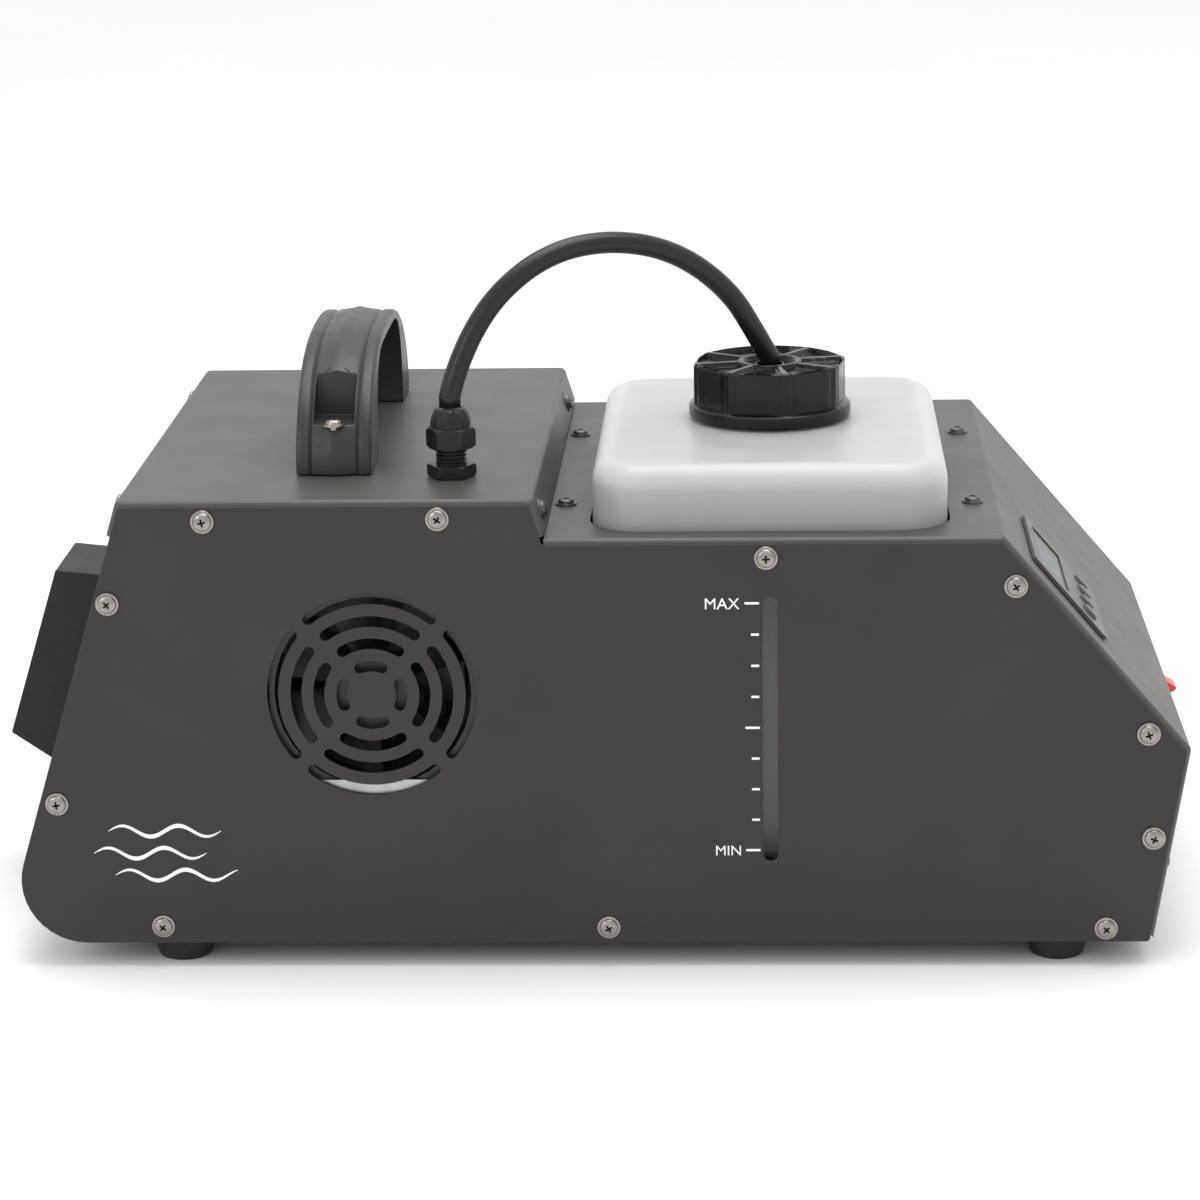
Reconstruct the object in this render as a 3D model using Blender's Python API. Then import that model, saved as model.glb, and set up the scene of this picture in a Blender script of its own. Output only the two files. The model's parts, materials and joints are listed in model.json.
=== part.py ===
"""Fog machine: a folded sheet-metal case with a lift-out fluid tank, for Blender 4.5.

Sizes are in millimetres and MM turns them into the scene's metres. The empty fog_machine carries
every piece. In its frame x runs back from the front panel's foot, y = 0 is the middle of the
case, z = 0 is the lower edge of the side panels, and the near side is -y.
"""

import math

import bmesh
import bpy
from mathutils import Euler, Matrix, Vector

MM = 0.001

# Case
WIDTH = 253.0
FOOT_HEIGHT = 10.0
X_MID = 216.9
SHEET = 1.5
GAP = 0.3
LAP = SHEET + GAP
FLANGE = 14.0
BEND_R = 2.5
WELD = 0.001
HALF = WIDTH / 2
SHEET_HALF = HALF - SHEET - GAP
PAN_Z = 0.3

# Corners of the side panel, (x, z), from the front over the top to the rear
TOP_FRONT = (43.9, 175.1)
TOP_STEP = (199.9, 175.1)
DECK_STEP = (204.8, 159.5)
DECK_REAR = (378.7, 159.5)
REAR_RIDGE = (450.0, 76.3)
REAR_FOOT = (437.1, 0.0)
FRONT_FOOT = (-10.0, 0.0)
NOSE_R = 25.0
LID_FRONT_DROP = 12.5
LID_STEP_END = 162.0
DECK_START = 206.5

# Side panel screws, (x, z)
LID_SCREWS = [(76.1, 169.5), (165.5, 170.0)]
REAR_SCREWS = [(289.7, 154.1), (384.0, 142.6), (435.1, 84.0), (437.9, 42.2)]
PAN_SCREWS = [(420.3, 5.6), (228.0, 6.3), (53.9, 7.0), (14.6, 57.2), (38.2, 137.4)]
SCREW_HOLE_R = 2.4

# Fan, its grille and the level slot
FAN_AT = (138.5, 100.7)
FAN_SIZE = 80.0
FAN_DEPTH = 25.0
GRILLE_RADII = (38.2, 29.2, 20.4, 11.5)
GRILLE_SLOT = 4.2
GRILLE_WEB = 5.0
LEVEL_X = 291.0
LEVEL_Z = (33.2, 138.8)
LEVEL_WIDTH = 5.8

# Tank and cap
TANK_X = (222.9, 359.6)
TANK_Y = (-112.5, 63.5)
TANK_Z = (28.0, 186.0)
TANK_WALL = 2.5
TANK_CORNER = 20.0
TANK_SHOULDER = 9.0
CAP_AT = (291.5, -20.5)
NECK_R = 25.5
NECK_TOP = 201.2
CAP_Z = (187.2, 209.0)
CAP_R = 31.0
CAP_RING_R = 32.5
CAP_LOBES = 8
TUBE_R = 4.25
TUBE_TOP = 205.7

# Hose and gland
HOSE_D = 8.5
GLAND_AT = (168.0, -84.5)
GLAND_TOP = 204.0
HOSE_ROUTE = [  # (share of the way from gland to cap, height)
    (0.0, 204.4),
    (0.0, 208.5),
    (0.012, 214.0),
    (0.035, 222.0),
    (0.071, 231.5),
    (0.122, 241.3),
    (0.183, 249.3),
    (0.264, 256.5),
    (0.361, 261.2),
    (0.462, 262.6),
    (0.556, 261.5),
    (0.647, 258.3),
    (0.737, 252.5),
    (0.82, 244.2),
    (0.889, 234.4),
    (0.941, 223.5),
    (0.98, 214.5),
    (1.0, 210.0),
    (1.0, 206.1),
]

# Handle
HANDLE_X = (107.0, 136.6)
HANDLE_Y = -1.5
HANDLE_OUT = (82.0, 46.2)
HANDLE_IN = (54.0, 41.0)
HANDLE_FOOT = 177.3

# Outlet
HOOD_HALF = 23.5
HOOD_TOP = ((26.6, 121.0), (-1.3, 124.0))
HOOD_BOTTOM = ((1.0, 38.0), (-23.3, 54.6))
NOZZLE_Z = 80.0

# Feet
FEET_X = (59.5, 402.7)
FOOT_Y = 109.5

# Controls, (distance down the slope, y)
OVERLAY_AT = (40.3, -69.8)
OVERLAY_SIZE = (43.5, 70.5)
LCD_SIZE = (16.0, 56.0)
LCD_SHIFT = -9.0
BUTTON_SHIFT = 12.0
BUTTON_PITCH = 15.0
BUTTON_R = 3.6

# Rear face, (distance down the face, y)
ROCKER_AT = (18.0, 10.0)
ROCKER_R = 9.0
ROCKER_HALF_WIDTH = 5.0
ROCKER_TILT = 14.0
ROCKER_PIVOT = 1.0
INLET_AT = (42.0, 74.0)
INLET_HOLE = (27.0, 47.0)
SOCKET_SHIFT = -8.5
FUSE_SIZE = (20.0, 8.0)
FUSE_SHIFT = 15.5
XLR_Y = {"xlr_in": -92.0, "xlr_out": -56.0}
XLR_DOWN = 41.0
XLR_R = 11.5

# Heater, pump and shelf
HEATER_X = (27.0, 158.0)
HEATER_HALF = 31.0
HEATER_Z = (56.0, 104.0)
PUMP_AT = (62.0, 85.0, 38.0)
PUMP_BORE_R = 6.4
SHELF_Z = 24.0


def clear_scene():
    for obj in list(bpy.data.objects):
        bpy.data.objects.remove(obj, do_unlink=True)


def finish(name, color, roughness, metallic=0.0):
    material = bpy.data.materials.new(name)
    material.use_nodes = True
    shader = material.node_tree.nodes["Principled BSDF"]
    shader.inputs["Base Color"].default_value = (*color, 1.0)
    shader.inputs["Roughness"].default_value = roughness
    shader.inputs["Metallic"].default_value = metallic
    return material


def empty(name, at=(0, 0, 0), turn=(0, 0, 0), parent=None):
    obj = bpy.data.objects.new(name, None)
    obj.location = Vector(at) * MM
    obj.rotation_euler = turn
    obj.parent = parent
    bpy.context.scene.collection.objects.link(obj)
    return obj


# Paths and outlines


def turn_between(first, second):
    return math.atan2(first.x * second.y - first.y * second.x, first.dot(second))


def rounded(points, radius, steps=3, closed=False):
    """The path with an arc in place of each corner. radius is one number, or one for each point."""
    radii = radius if isinstance(radius, (list, tuple)) else [radius] * len(points)
    spots = [Vector(p) for p in points]
    count, path = len(spots), []
    for i, spot in enumerate(spots):
        if (not closed and i in (0, count - 1)) or radii[i] == 0:
            path.append(spot)
            continue
        before = (spot - spots[i - 1]).normalized()
        after = (spots[(i + 1) % count] - spot).normalized()
        turn = turn_between(before, after)
        start = spot - before * radii[i] * math.tan(abs(turn) / 2)
        side = Vector((-before.y, before.x)) * math.copysign(1, turn)
        centre = start + side * radii[i]
        for k in range(steps + 1):
            path.append(centre + Matrix.Rotation(turn * k / steps, 2) @ (start - centre))
    return path


def inward(path, before=None, after=None):
    """Mitre vectors to the right of the path's travel, which is under a sheet drawn clockwise."""
    spots = [Vector(p) for p in path]
    first = Vector(before) if before else 2 * spots[0] - spots[1]
    last = Vector(after) if after else 2 * spots[-1] - spots[-2]
    line = [first, *spots, last]
    mitres = []
    for a, b, c in zip(line, line[1:], line[2:]):
        n_in = Vector(((b - a).y, -(b - a).x)).normalized()
        n_out = Vector(((c - b).y, -(c - b).x)).normalized()
        mitres.append((n_in + n_out) / (1 + n_in.dot(n_out)))
    return mitres


def offset(path, depth, before=None, after=None):
    return [Vector(p) + m * depth for p, m in zip(path, inward(path, before, after))]


def toward(start, end, distance):
    """The point that lies this far from start on the way to end."""
    way = (Vector(end) - Vector(start)).normalized()
    return Vector(start) + way * distance


def slot_outline(centre, half_length, half_width, steps=4):
    """A round-ended slot along the second axis."""
    x, z = centre
    run = half_length - half_width
    points = []
    for end in (1, -1):
        for k in range(steps + 1):
            angle = math.pi * k / steps + (0 if end > 0 else math.pi)
            points.append(
                (x + half_width * math.cos(angle), z + end * run + half_width * math.sin(angle))
            )
    return points


def arc_slot_outline(centre, radius, middle, web, width, steps):
    """A round-ended slot bent along a circle, a quarter of it long less the web."""
    half = width / 2
    reach = math.pi / 4 - (web / 2 + half) / radius
    points = []
    for k in range(steps + 1):
        angle = middle - reach + 2 * reach * k / steps
        points.append(polar(centre, radius + half, angle))
    for k in (1, 2):
        tip = polar(centre, radius, middle + reach)
        points.append(polar(tip, half, middle + reach + math.pi * k / 3))
    for k in range(steps + 1):
        angle = middle + reach - 2 * reach * k / steps
        points.append(polar(centre, radius - half, angle))
    for k in (1, 2):
        tip = polar(centre, radius, middle - reach)
        points.append(polar(tip, half, middle - reach + math.pi + math.pi * k / 3))
    return points


def polar(centre, radius, angle):
    return (centre[0] + radius * math.cos(angle), centre[1] + radius * math.sin(angle))


def circle(centre, radius, sides):
    return [polar(centre, radius, 2 * math.pi * k / sides) for k in range(sides)]


def rectangle(x_range, y_range):
    (x0, x1), (y0, y1) = x_range, y_range
    return [(x0, y0), (x1, y0), (x1, y1), (x0, y1)]


def centred(centre, size):
    """The corners of a rectangle about its centre."""
    (x, y), (a, b) = centre, size
    return rectangle((x - a / 2, x + a / 2), (y - b / 2, y + b / 2))


# Solids, as bmeshes in metres


def loft(rings, closed=False):
    """One body through rings of equally many points, capped at both ends unless it closes."""
    mesh = bmesh.new()
    loops = [[mesh.verts.new(Vector(p) * MM) for p in ring] for ring in rings]
    following = loops[1:] + loops[:1] if closed else loops[1:]
    for low, high in zip(loops, following):
        for i in range(len(low)):
            j = (i + 1) % len(low)
            mesh.faces.new((low[i], low[j], high[j], high[i]))
    if not closed:
        mesh.faces.new(loops[0])
        mesh.faces.new(loops[-1])
    bmesh.ops.recalc_face_normals(mesh, faces=mesh.faces)
    return mesh


def spot_in(plane, flat, height):
    """A point drawn flat in a plane, at a height along the axis that the plane faces."""
    a, b = flat
    return {"XY": (a, b, height), "XZ": (a, height, b), "YZ": (height, a, b)}[plane]


def prism(outline, low, high, plane="XY"):
    return loft([[spot_in(plane, p, h) for p in outline] for h in (low, high)])


def box(x_range, y_range, z_range):
    return prism(rectangle(x_range, y_range), *z_range)


def swept(path, section, plane="XZ"):
    """A sheet along a path. The section's points are (place across the sheet, depth under it)."""
    rings = []
    for spot, mitre in zip(path, inward(path)):
        rings.append([spot_in(plane, Vector(spot) + mitre * d, across) for across, d in section])
    return loft(rings)


def folded(corners, radius, section, before=None, after=None, steps=3):
    """A sheet bent in XZ along a line of corners, of the same kind of section as swept().

    At a bend, what lies deeper than the radius meets on the mitre, so flanges never cross.
    """
    spots = [Vector(p) for p in corners]
    rings = []
    for i, (spot, mitre) in enumerate(zip(spots, inward(corners, before, after))):
        if i in (0, len(spots) - 1):
            rings.append([spot_in("XZ", spot + mitre * d, across) for across, d in section])
            continue
        start = (spot - spots[i - 1]).normalized()
        end = (spots[i + 1] - spot).normalized()
        turn = turn_between(start, end)
        centre = spot + mitre * radius
        out = Vector((-start.y, start.x))
        for k in range(steps + 1):
            facing = Matrix.Rotation(turn * k / steps, 2) @ out
            ring = []
            for across, d in section:
                flat = centre + facing * (radius - d) if d < radius else spot + mitre * d
                ring.append(spot_in("XZ", flat, across))
            rings.append(ring)
    mesh = loft(rings)
    bmesh.ops.remove_doubles(mesh, verts=mesh.verts, dist=WELD * MM)
    bmesh.ops.recalc_face_normals(mesh, faces=mesh.faces)
    return mesh


def channel(half):
    """The section of a sheet whose two edges are bent down."""
    outer = [(-half, FLANGE), (-half, 0), (half, 0), (half, FLANGE)]
    wall = half - SHEET
    inner = [(wall, FLANGE), (wall, SHEET), (-wall, SHEET), (-wall, FLANGE)]
    return rounded(outer, BEND_R) + rounded(inner, BEND_R - SHEET)


def strip(low, high, depth=0.0, thick=SHEET):
    """The section of a flat strip."""
    return [(low, depth), (high, depth), (high, depth + thick), (low, depth + thick)]


def turned(profile, sides=24, closed=False, radius=None):
    """A body of rings about the Z axis. radius, if given, turns (r, angle) into a lobed r."""
    rings = []
    for r, z in profile:
        ring = []
        for k in range(sides):
            angle = 2 * math.pi * k / sides
            reach = radius(r, angle) if radius else r
            ring.append((reach * math.cos(angle), reach * math.sin(angle), z))
        rings.append(ring)
    return loft(rings, closed)


def moved(mesh, at=(0, 0, 0), turn=(0, 0, 0)):
    mesh.transform(Matrix.LocRotScale(Vector(at) * MM, Euler(turn), None))
    return mesh


def joined(meshes):
    """Separate bodies in one bmesh, for a cutter or for a union."""
    whole = bmesh.new()
    for mesh in meshes:
        data = bpy.data.meshes.new("part_of_a_cutter")
        mesh.to_mesh(data)
        whole.from_mesh(data)
        mesh.free()
        bpy.data.meshes.remove(data)
    return whole


# Objects


def part(name, mesh, material, parent, at=(0, 0, 0), turn=(0, 0, 0), smooth=40):
    data = bpy.data.meshes.new(name)
    mesh.to_mesh(data)
    mesh.free()
    data.materials.append(material)
    data.shade_smooth()
    data.set_sharp_from_angle(angle=math.radians(smooth))
    obj = bpy.data.objects.new(name, data)
    obj.parent = parent
    obj.location = Vector(at) * MM
    obj.rotation_euler = turn
    bpy.context.scene.collection.objects.link(obj)
    return obj


def boolean(obj, mesh, operation):
    """Cuts the bmesh, drawn in the object's own frame, out of the object, or adds it."""
    name = f"{obj.name}_{operation.lower()}"
    tool = part(name, mesh, obj.data.materials[0], obj.parent, smooth=180)
    tool.location = obj.location
    tool.rotation_euler = obj.rotation_euler
    tool.hide_render = True
    tool.display_type = "WIRE"
    modifier = obj.modifiers.new(operation.title(), "BOOLEAN")
    modifier.operation = operation
    modifier.solver = "EXACT"
    modifier.object = tool


def cut(obj, *meshes):
    boolean(obj, joined(meshes), "DIFFERENCE")


def unite(obj, *meshes):
    boolean(obj, joined(meshes), "UNION")


# Case


def panel_outline():
    corners = [TOP_FRONT, TOP_STEP, DECK_STEP, DECK_REAR, REAR_RIDGE, REAR_FOOT, FRONT_FOOT]
    return rounded(corners, [1.5, 1.5, 0.6, 2.0, 2.0, 1.5, NOSE_R], 6, closed=True)


def screw_holes(points, sides=(-1, 1)):
    holes = []
    for side in sides:
        low, high = sorted((side * (HALF + 1), side * (HALF - 5)))
        holes += [prism(circle(p, SCREW_HOLE_R, 8), low, high, "XZ") for p in points]
    return holes


def grille_slots(low, high):
    slots = []
    for radius in GRILLE_RADII:
        steps = max(3, round(radius / 5))
        for quarter in range(4):
            outline = arc_slot_outline(
                FAN_AT, radius, quarter * math.pi / 2, GRILLE_WEB, GRILLE_SLOT, steps
            )
            slots.append(prism(outline, low, high, "XZ"))
    return slots


def side_panels(root, paint):
    every = LID_SCREWS + REAR_SCREWS + PAN_SCREWS
    near = part(
        "near_side_panel", prism(panel_outline(), -HALF, SHEET - HALF, "XZ"), paint, root
    )
    low, high = -HALF - 1, -HALF + SHEET + 1
    middle = (LEVEL_X, sum(LEVEL_Z) / 2)
    length = LEVEL_Z[1] - LEVEL_Z[0]
    level = prism(slot_outline(middle, length / 2, LEVEL_WIDTH / 2), low, high, "XZ")
    cut(near, level, *grille_slots(low, high), *screw_holes(every, (-1,)))
    far = part("far_side_panel", prism(panel_outline(), HALF - SHEET, HALF, "XZ"), paint, root)
    vents = []
    for row in range(6):
        outline = slot_outline((62.0 + row * 12.0, 84.0), 26.0, 2.1, 3)
        vents.append(prism(outline, HALF - SHEET - 1, HALF + 1, "XZ"))
    cut(far, *vents, *screw_holes(every, (1,)))


def top_cover(root, paint):
    start = toward(TOP_FRONT, FRONT_FOOT, LID_FRONT_DROP)
    run = (TOP_STEP[1] - LID_STEP_END) / (TOP_STEP[1] - DECK_STEP[1])
    end = Vector(TOP_STEP).lerp(Vector(DECK_STEP), run)
    corners = offset([start, TOP_FRONT, TOP_STEP, end], -LAP)
    cover = part("top_cover", folded(corners, BEND_R, channel(SHEET_HALF)), paint, root)
    gland_hole = prism(circle(GLAND_AT, 6.5, 16), 170, 180)
    cut(cover, gland_hole, *screw_holes(LID_SCREWS))


def deck_cover(root, paint):
    """The deck, the control slope and the rear face, folded from one sheet."""
    foot = toward(REAR_FOOT, REAR_RIDGE, 2.2)
    corners = [(DECK_START, DECK_STEP[1]), DECK_REAR, REAR_RIDGE, foot]
    level_below = (foot.x - 40, foot.y)
    line = offset(corners, -LAP, None, level_below)
    after = (line[-1].x - 40, line[-1].y)
    sheet = folded(line, BEND_R, channel(SHEET_HALF), None, after)
    cover = part("deck_cover", sheet, paint, root)
    unite(cover, step_tab())
    (x0, x1), (y0, y1) = TANK_X, TANK_Y
    opening = rounded(rectangle((x0 - 1, x1 + 1), (y0 - 1, y1 + 1)), TANK_CORNER + 1, 5, True)
    cut(cover, prism(opening, 150, 170), *screw_holes(REAR_SCREWS))
    return cover


def step_tab():
    """The deck's narrower edge, bent up behind the top cover's step flange."""
    surface = DECK_STEP[1] + LAP - 0.1
    lean = (DECK_STEP[0] - TOP_STEP[0]) / (TOP_STEP[1] - DECK_STEP[1])
    corner = (TOP_STEP[0] + (TOP_STEP[1] - surface) * lean, surface)
    top = toward(corner, TOP_STEP, 9.0)
    return swept([top, corner, (216.0, surface)], strip(-110, 110, 0.1, 1.2))


def base_pan(root, paint):
    """The bottom and the front, folded from one sheet round the nose."""
    rise = Vector((-FRONT_FOOT[0] + TOP_FRONT[0], TOP_FRONT[1])).normalized()
    foot = Vector(FRONT_FOOT) + rise * PAN_Z / rise.y
    top = toward(TOP_FRONT, FRONT_FOOT, LID_FRONT_DROP + 0.9)
    start = Vector((436.0, PAN_Z))
    before = start + (Vector(REAR_RIDGE) - Vector(REAR_FOOT))
    sheet = folded([start, foot, top], NOSE_R, channel(SHEET_HALF), before, None, 8)
    pan = part("base_pan", sheet, paint, root)
    tab = [toward(top, foot, 10.0), toward(top, TOP_FRONT, 8.0)]
    unite(pan, swept(tab, strip(-110, 110, 0.15, 1.2)))
    nozzle_hole = moved(turned([(8.5, -10), (8.5, 10)], 16), (15.4, 0, NOZZLE_Z), (0, math.pi / 2, 0))
    cut(pan, nozzle_hole, *screw_holes(PAN_SCREWS))


def outlet_hood(root, paint):
    """A tapered duct, open at the front, whose walls stand on the front panel."""

    def ring(end, inset, out):
        (xt, zt), (xb, zb) = HOOD_TOP[end], HOOD_BOTTOM[end]
        half = HOOD_HALF - inset
        lean = (xt - xb) / (zt - zb)
        zt, zb = zt - inset, zb + inset
        xt, xb = xt - inset * lean - out, xb + inset * lean - out
        return [(xt, -half, zt), (xt, half, zt), (xb, half, zb), (xb, -half, zb)]

    rings = [ring(0, 0, GAP), ring(1, 0, 0), ring(1, SHEET, 0), ring(0, SHEET, GAP)]
    part("outlet_hood", loft(rings, closed=True), paint, root)


def feet(root, rubber):
    profile = [(9.9, -10), (10.6, -9.2), (12.6, -1.6), (13.0, 0)]
    for end, x in zip(("front", "rear"), FEET_X):
        for side, y in (("near", -FOOT_Y), ("far", FOOT_Y)):
            part(f"foot_{end}_{side}", turned(profile, 20), rubber, root, (x, y, 0))


def near_screws(root, steel):
    profile = [(1.8, -6), (1.8, GAP), (4.6, GAP), (4.6, 1.0), (3.5, 2.2), (1.7, 2.6)]
    for number, (x, z) in enumerate(LID_SCREWS + REAR_SCREWS + PAN_SCREWS, 1):
        name = f"panel_screw_{number:02d}"
        part(name, turned(profile, 10), steel, root, (x, -HALF, z), (math.pi / 2, 0, 0))


# Handle


def handle_ring(x, lift):
    """The arch's outline in YZ at one place across it, its back raised by lift."""
    points = []
    for k in range(19):
        t = math.pi * k / 18
        along = math.copysign(abs(math.cos(t)) ** 0.8, math.cos(t))
        points.append(((HANDLE_OUT[0] + lift) * along, (HANDLE_OUT[1] + lift) * math.sin(t)))
    for k in range(13):
        t = math.pi * (12 - k) / 12
        along = math.copysign(abs(math.cos(t)) ** 0.36, math.cos(t))
        points.append((HANDLE_IN[0] * along, HANDLE_IN[1] * math.sin(t)))
    return [(x, HANDLE_Y + y, HANDLE_FOOT + z) for y, z in points]


def handle(root, plastic):
    low, high = HANDLE_X
    lifts = [(0, -1.4), (1.4, 0), (4.6, 0), (5.8, -1.1), (7.0, 0)]
    stations = [(low + d, lift) for d, lift in lifts]
    stations += [((low + high) / 2, 1.3)]
    stations += [(high - d, lift) for d, lift in reversed(lifts)]
    grip = part("handle", loft([handle_ring(x, lift) for x, lift in stations]), plastic, root)
    windows = []
    for side in (-1, 1):
        reach = sorted((HANDLE_Y + side * 58, HANDLE_Y + side * 95))
        windows.append(box((low + 6.8, high - 6.8), reach, (191, 240)))
    cut(grip, *windows)


# Tank


def tank_ring(inset, z):
    (x0, x1), (y0, y1) = TANK_X, TANK_Y
    sides = rectangle((x0 + inset, x1 - inset), (y0 + inset, y1 - inset))
    outline = rounded(sides, max(TANK_CORNER - inset, 4.0), 5, True)
    return [(*p, z) for p in outline]


def neck_ring(r, z):
    """A circle whose points face those of the tank's rings."""
    middle = Vector(CAP_AT)
    ring = []
    for x, y, _ in tank_ring(0, 0):
        ray = (Vector((x, y)) - middle).normalized() * r
        ring.append((*(middle + ray), z))
    return ring


def tank(root, plastic):
    floor, top = TANK_Z
    outer = [tank_ring(4.0, floor), tank_ring(1.0, floor + 1.4), tank_ring(0, floor + 5)]
    inner = [tank_ring(TANK_WALL, floor + 8), tank_ring(7.0, floor + TANK_WALL)]
    for k in range(4):
        angle = math.pi / 2 * k / 3
        inset = TANK_SHOULDER * (1 - math.cos(angle))
        rise = TANK_SHOULDER * (1 - math.sin(angle))
        outer.append(tank_ring(inset, top - rise))
    neck = [(NECK_R, top), (NECK_R, 190), (27, 191), (27, 192.5), (NECK_R, 193.5)]
    neck += [(NECK_R, NECK_TOP), (21, NECK_TOP), (21, top - TANK_WALL)]
    outer += [neck_ring(r, z) for r, z in neck]
    lid = top - TANK_WALL
    down = [tank_ring(9.0, lid), tank_ring(4.5, lid - 2.4), tank_ring(TANK_WALL, lid - 8)]
    part("tank", loft(outer + down + inner), plastic, root)


def cap_radius(r, angle):
    """Rounds the outer wall into finger lobes and leaves the bore and the lower ring round."""
    on_wall = 29.0 < r < CAP_RING_R - 0.5
    return r + (0.9 * math.cos(CAP_LOBES * angle) - 0.9 if on_wall else 0)


def cap(root, plastic, rubber):
    low, high = CAP_Z
    profile = [(28, low), (CAP_RING_R, low), (CAP_RING_R, low + 4.6), (CAP_R, low + 5.4)]
    profile += [(CAP_R, high - 1.6), (CAP_R - 1.5, high), (13, high), (12, high - 2.2)]
    profile += [(5.6, high - 2.2), (5.6, high - 6), (28, high - 6)]
    at = (*CAP_AT, 0)
    part("tank_cap", turned(profile, 32, True, cap_radius), plastic, root, at)
    seal = [(20, NECK_TOP + GAP), (27.4, NECK_TOP + GAP), (27.4, high - 6.3), (20, high - 6.3)]
    part("cap_gasket", turned(seal, 24, True), rubber, root, at)


def pickup(root, plastic, mesh_metal):
    at = (*CAP_AT, 0)
    part("pickup_tube", turned([(TUBE_R, 40), (TUBE_R, TUBE_TOP)], 12), plastic, root, at)
    weight = [(6.5, 31.2), (8, 32.4), (8, 37), (5, 39.7)]
    part("pickup_filter", turned(weight, 14), mesh_metal, root, at)


# Hoses


def catmull(points, spacing):
    """Evenly spaced points on the smooth curve through the given ones."""
    spots = [Vector(p) for p in points]
    ends = [2 * spots[0] - spots[1], *spots, 2 * spots[-1] - spots[-2]]
    fine = []
    for a, b, c, d in zip(ends, ends[1:], ends[2:], ends[3:]):
        for k in range(20):
            t = k / 20
            fine.append(
                0.5 * (2 * b + (c - a) * t + (2 * a - 5 * b + 4 * c - d) * t * t)
                + 0.5 * (3 * b - a - 3 * c + d) * t**3
            )
    fine.append(spots[-1])
    lengths = [0.0]
    for a, b in zip(fine, fine[1:]):
        lengths.append(lengths[-1] + (b - a).length)
    count = max(4, round(lengths[-1] / spacing))
    even, i = [], 0
    for k in range(count + 1):
        want = lengths[-1] * k / count
        while i < len(fine) - 2 and lengths[i + 1] < want:
            i += 1
        share = (want - lengths[i]) / (lengths[i + 1] - lengths[i])
        even.append(fine[i].lerp(fine[i + 1], share))
    return even


def hose(name, route, diameter, material, root):
    """A tube along the route, whose first and last stretches stay straight."""
    curve = bpy.data.curves.new(name, "CURVE")
    curve.dimensions = "3D"
    curve.bevel_depth = diameter / 2 * MM
    curve.bevel_resolution = 2
    curve.use_fill_caps = True
    points = [Vector(route[0]), *catmull(route[1:-1], 2.2 * diameter), Vector(route[-1])]
    spline = curve.splines.new("POLY")
    spline.points.add(len(points) - 1)
    for place, point in zip(spline.points, points):
        place.co = (*(point * MM), 1.0)
    curve.materials.append(material)
    obj = bpy.data.objects.new(name, curve)
    obj.parent = root
    bpy.context.scene.collection.objects.link(obj)


def hoses(root, black, clear):
    start, end = Vector(GLAND_AT), Vector(CAP_AT)
    feed = [(*start.lerp(end, share), z) for share, z in HOSE_ROUTE]
    hose("feed_hose", feed, HOSE_D, black, root)
    x, y, z = PUMP_AT
    suction = [(168, -84.5, 163.6), (168, -84.5, 158), (167, -76, 145), (160, -30, 140)]
    suction += [(150, 20, 140), (130, 65, 136), (95, 92, 120), (60, 98, 95), (40, 93, 65)]
    suction += [(38, 87, 50), (43, y, z + 3), (x - 9, y, z), (x - GAP, y, z)]
    hose("suction_hose", suction, 6.0, clear, root)
    back = x + 104.5
    delivery = [(back, y, z), (back + 5, y, z), (back + 14, y - 3, z + 3), (back + 23, y - 18, 51)]
    delivery += [(back + 24, 42, 66), (back + 18, 14, 77), (back + 6, 0, 80), (158.4, 0, 80)]
    hose("delivery_tube", delivery, 5.0, clear, root)


def hexagon_radius(r, angle):
    """The reach of a hexagon with corner radius r."""
    part_angle = (angle + math.pi / 6) % (math.pi / 3) - math.pi / 6
    return r * math.cos(math.pi / 6) / math.cos(abs(part_angle) - math.pi / 6) if r > 7 else r


def gland(root, nylon):
    at = (*GLAND_AT, 0)
    top = TOP_FRONT[1] + LAP + GAP
    body = [(6.0, 164), (6.0, top), (9.65, top), (9.65, top + 4.9), (6.0, top + 4.9), (6.0, 188.2)]
    part("gland_body", turned(body, 12, radius=hexagon_radius), nylon, root, at)
    nut = [(9.65, 188.5), (9.65, 196.6), (7.0, 197.6), (7.0, 200.5), (5.4, GLAND_TOP)]
    part("gland_nut", turned(nut, 12, radius=hexagon_radius), nylon, root, at)
    lower = top - LAP - GAP - 0.2
    ring = [(6.4, lower - 4), (11, lower - 4), (11, lower), (6.4, lower)]
    part("gland_locknut", turned(ring, 12, True, hexagon_radius), nylon, root, at)


# Fan


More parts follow.
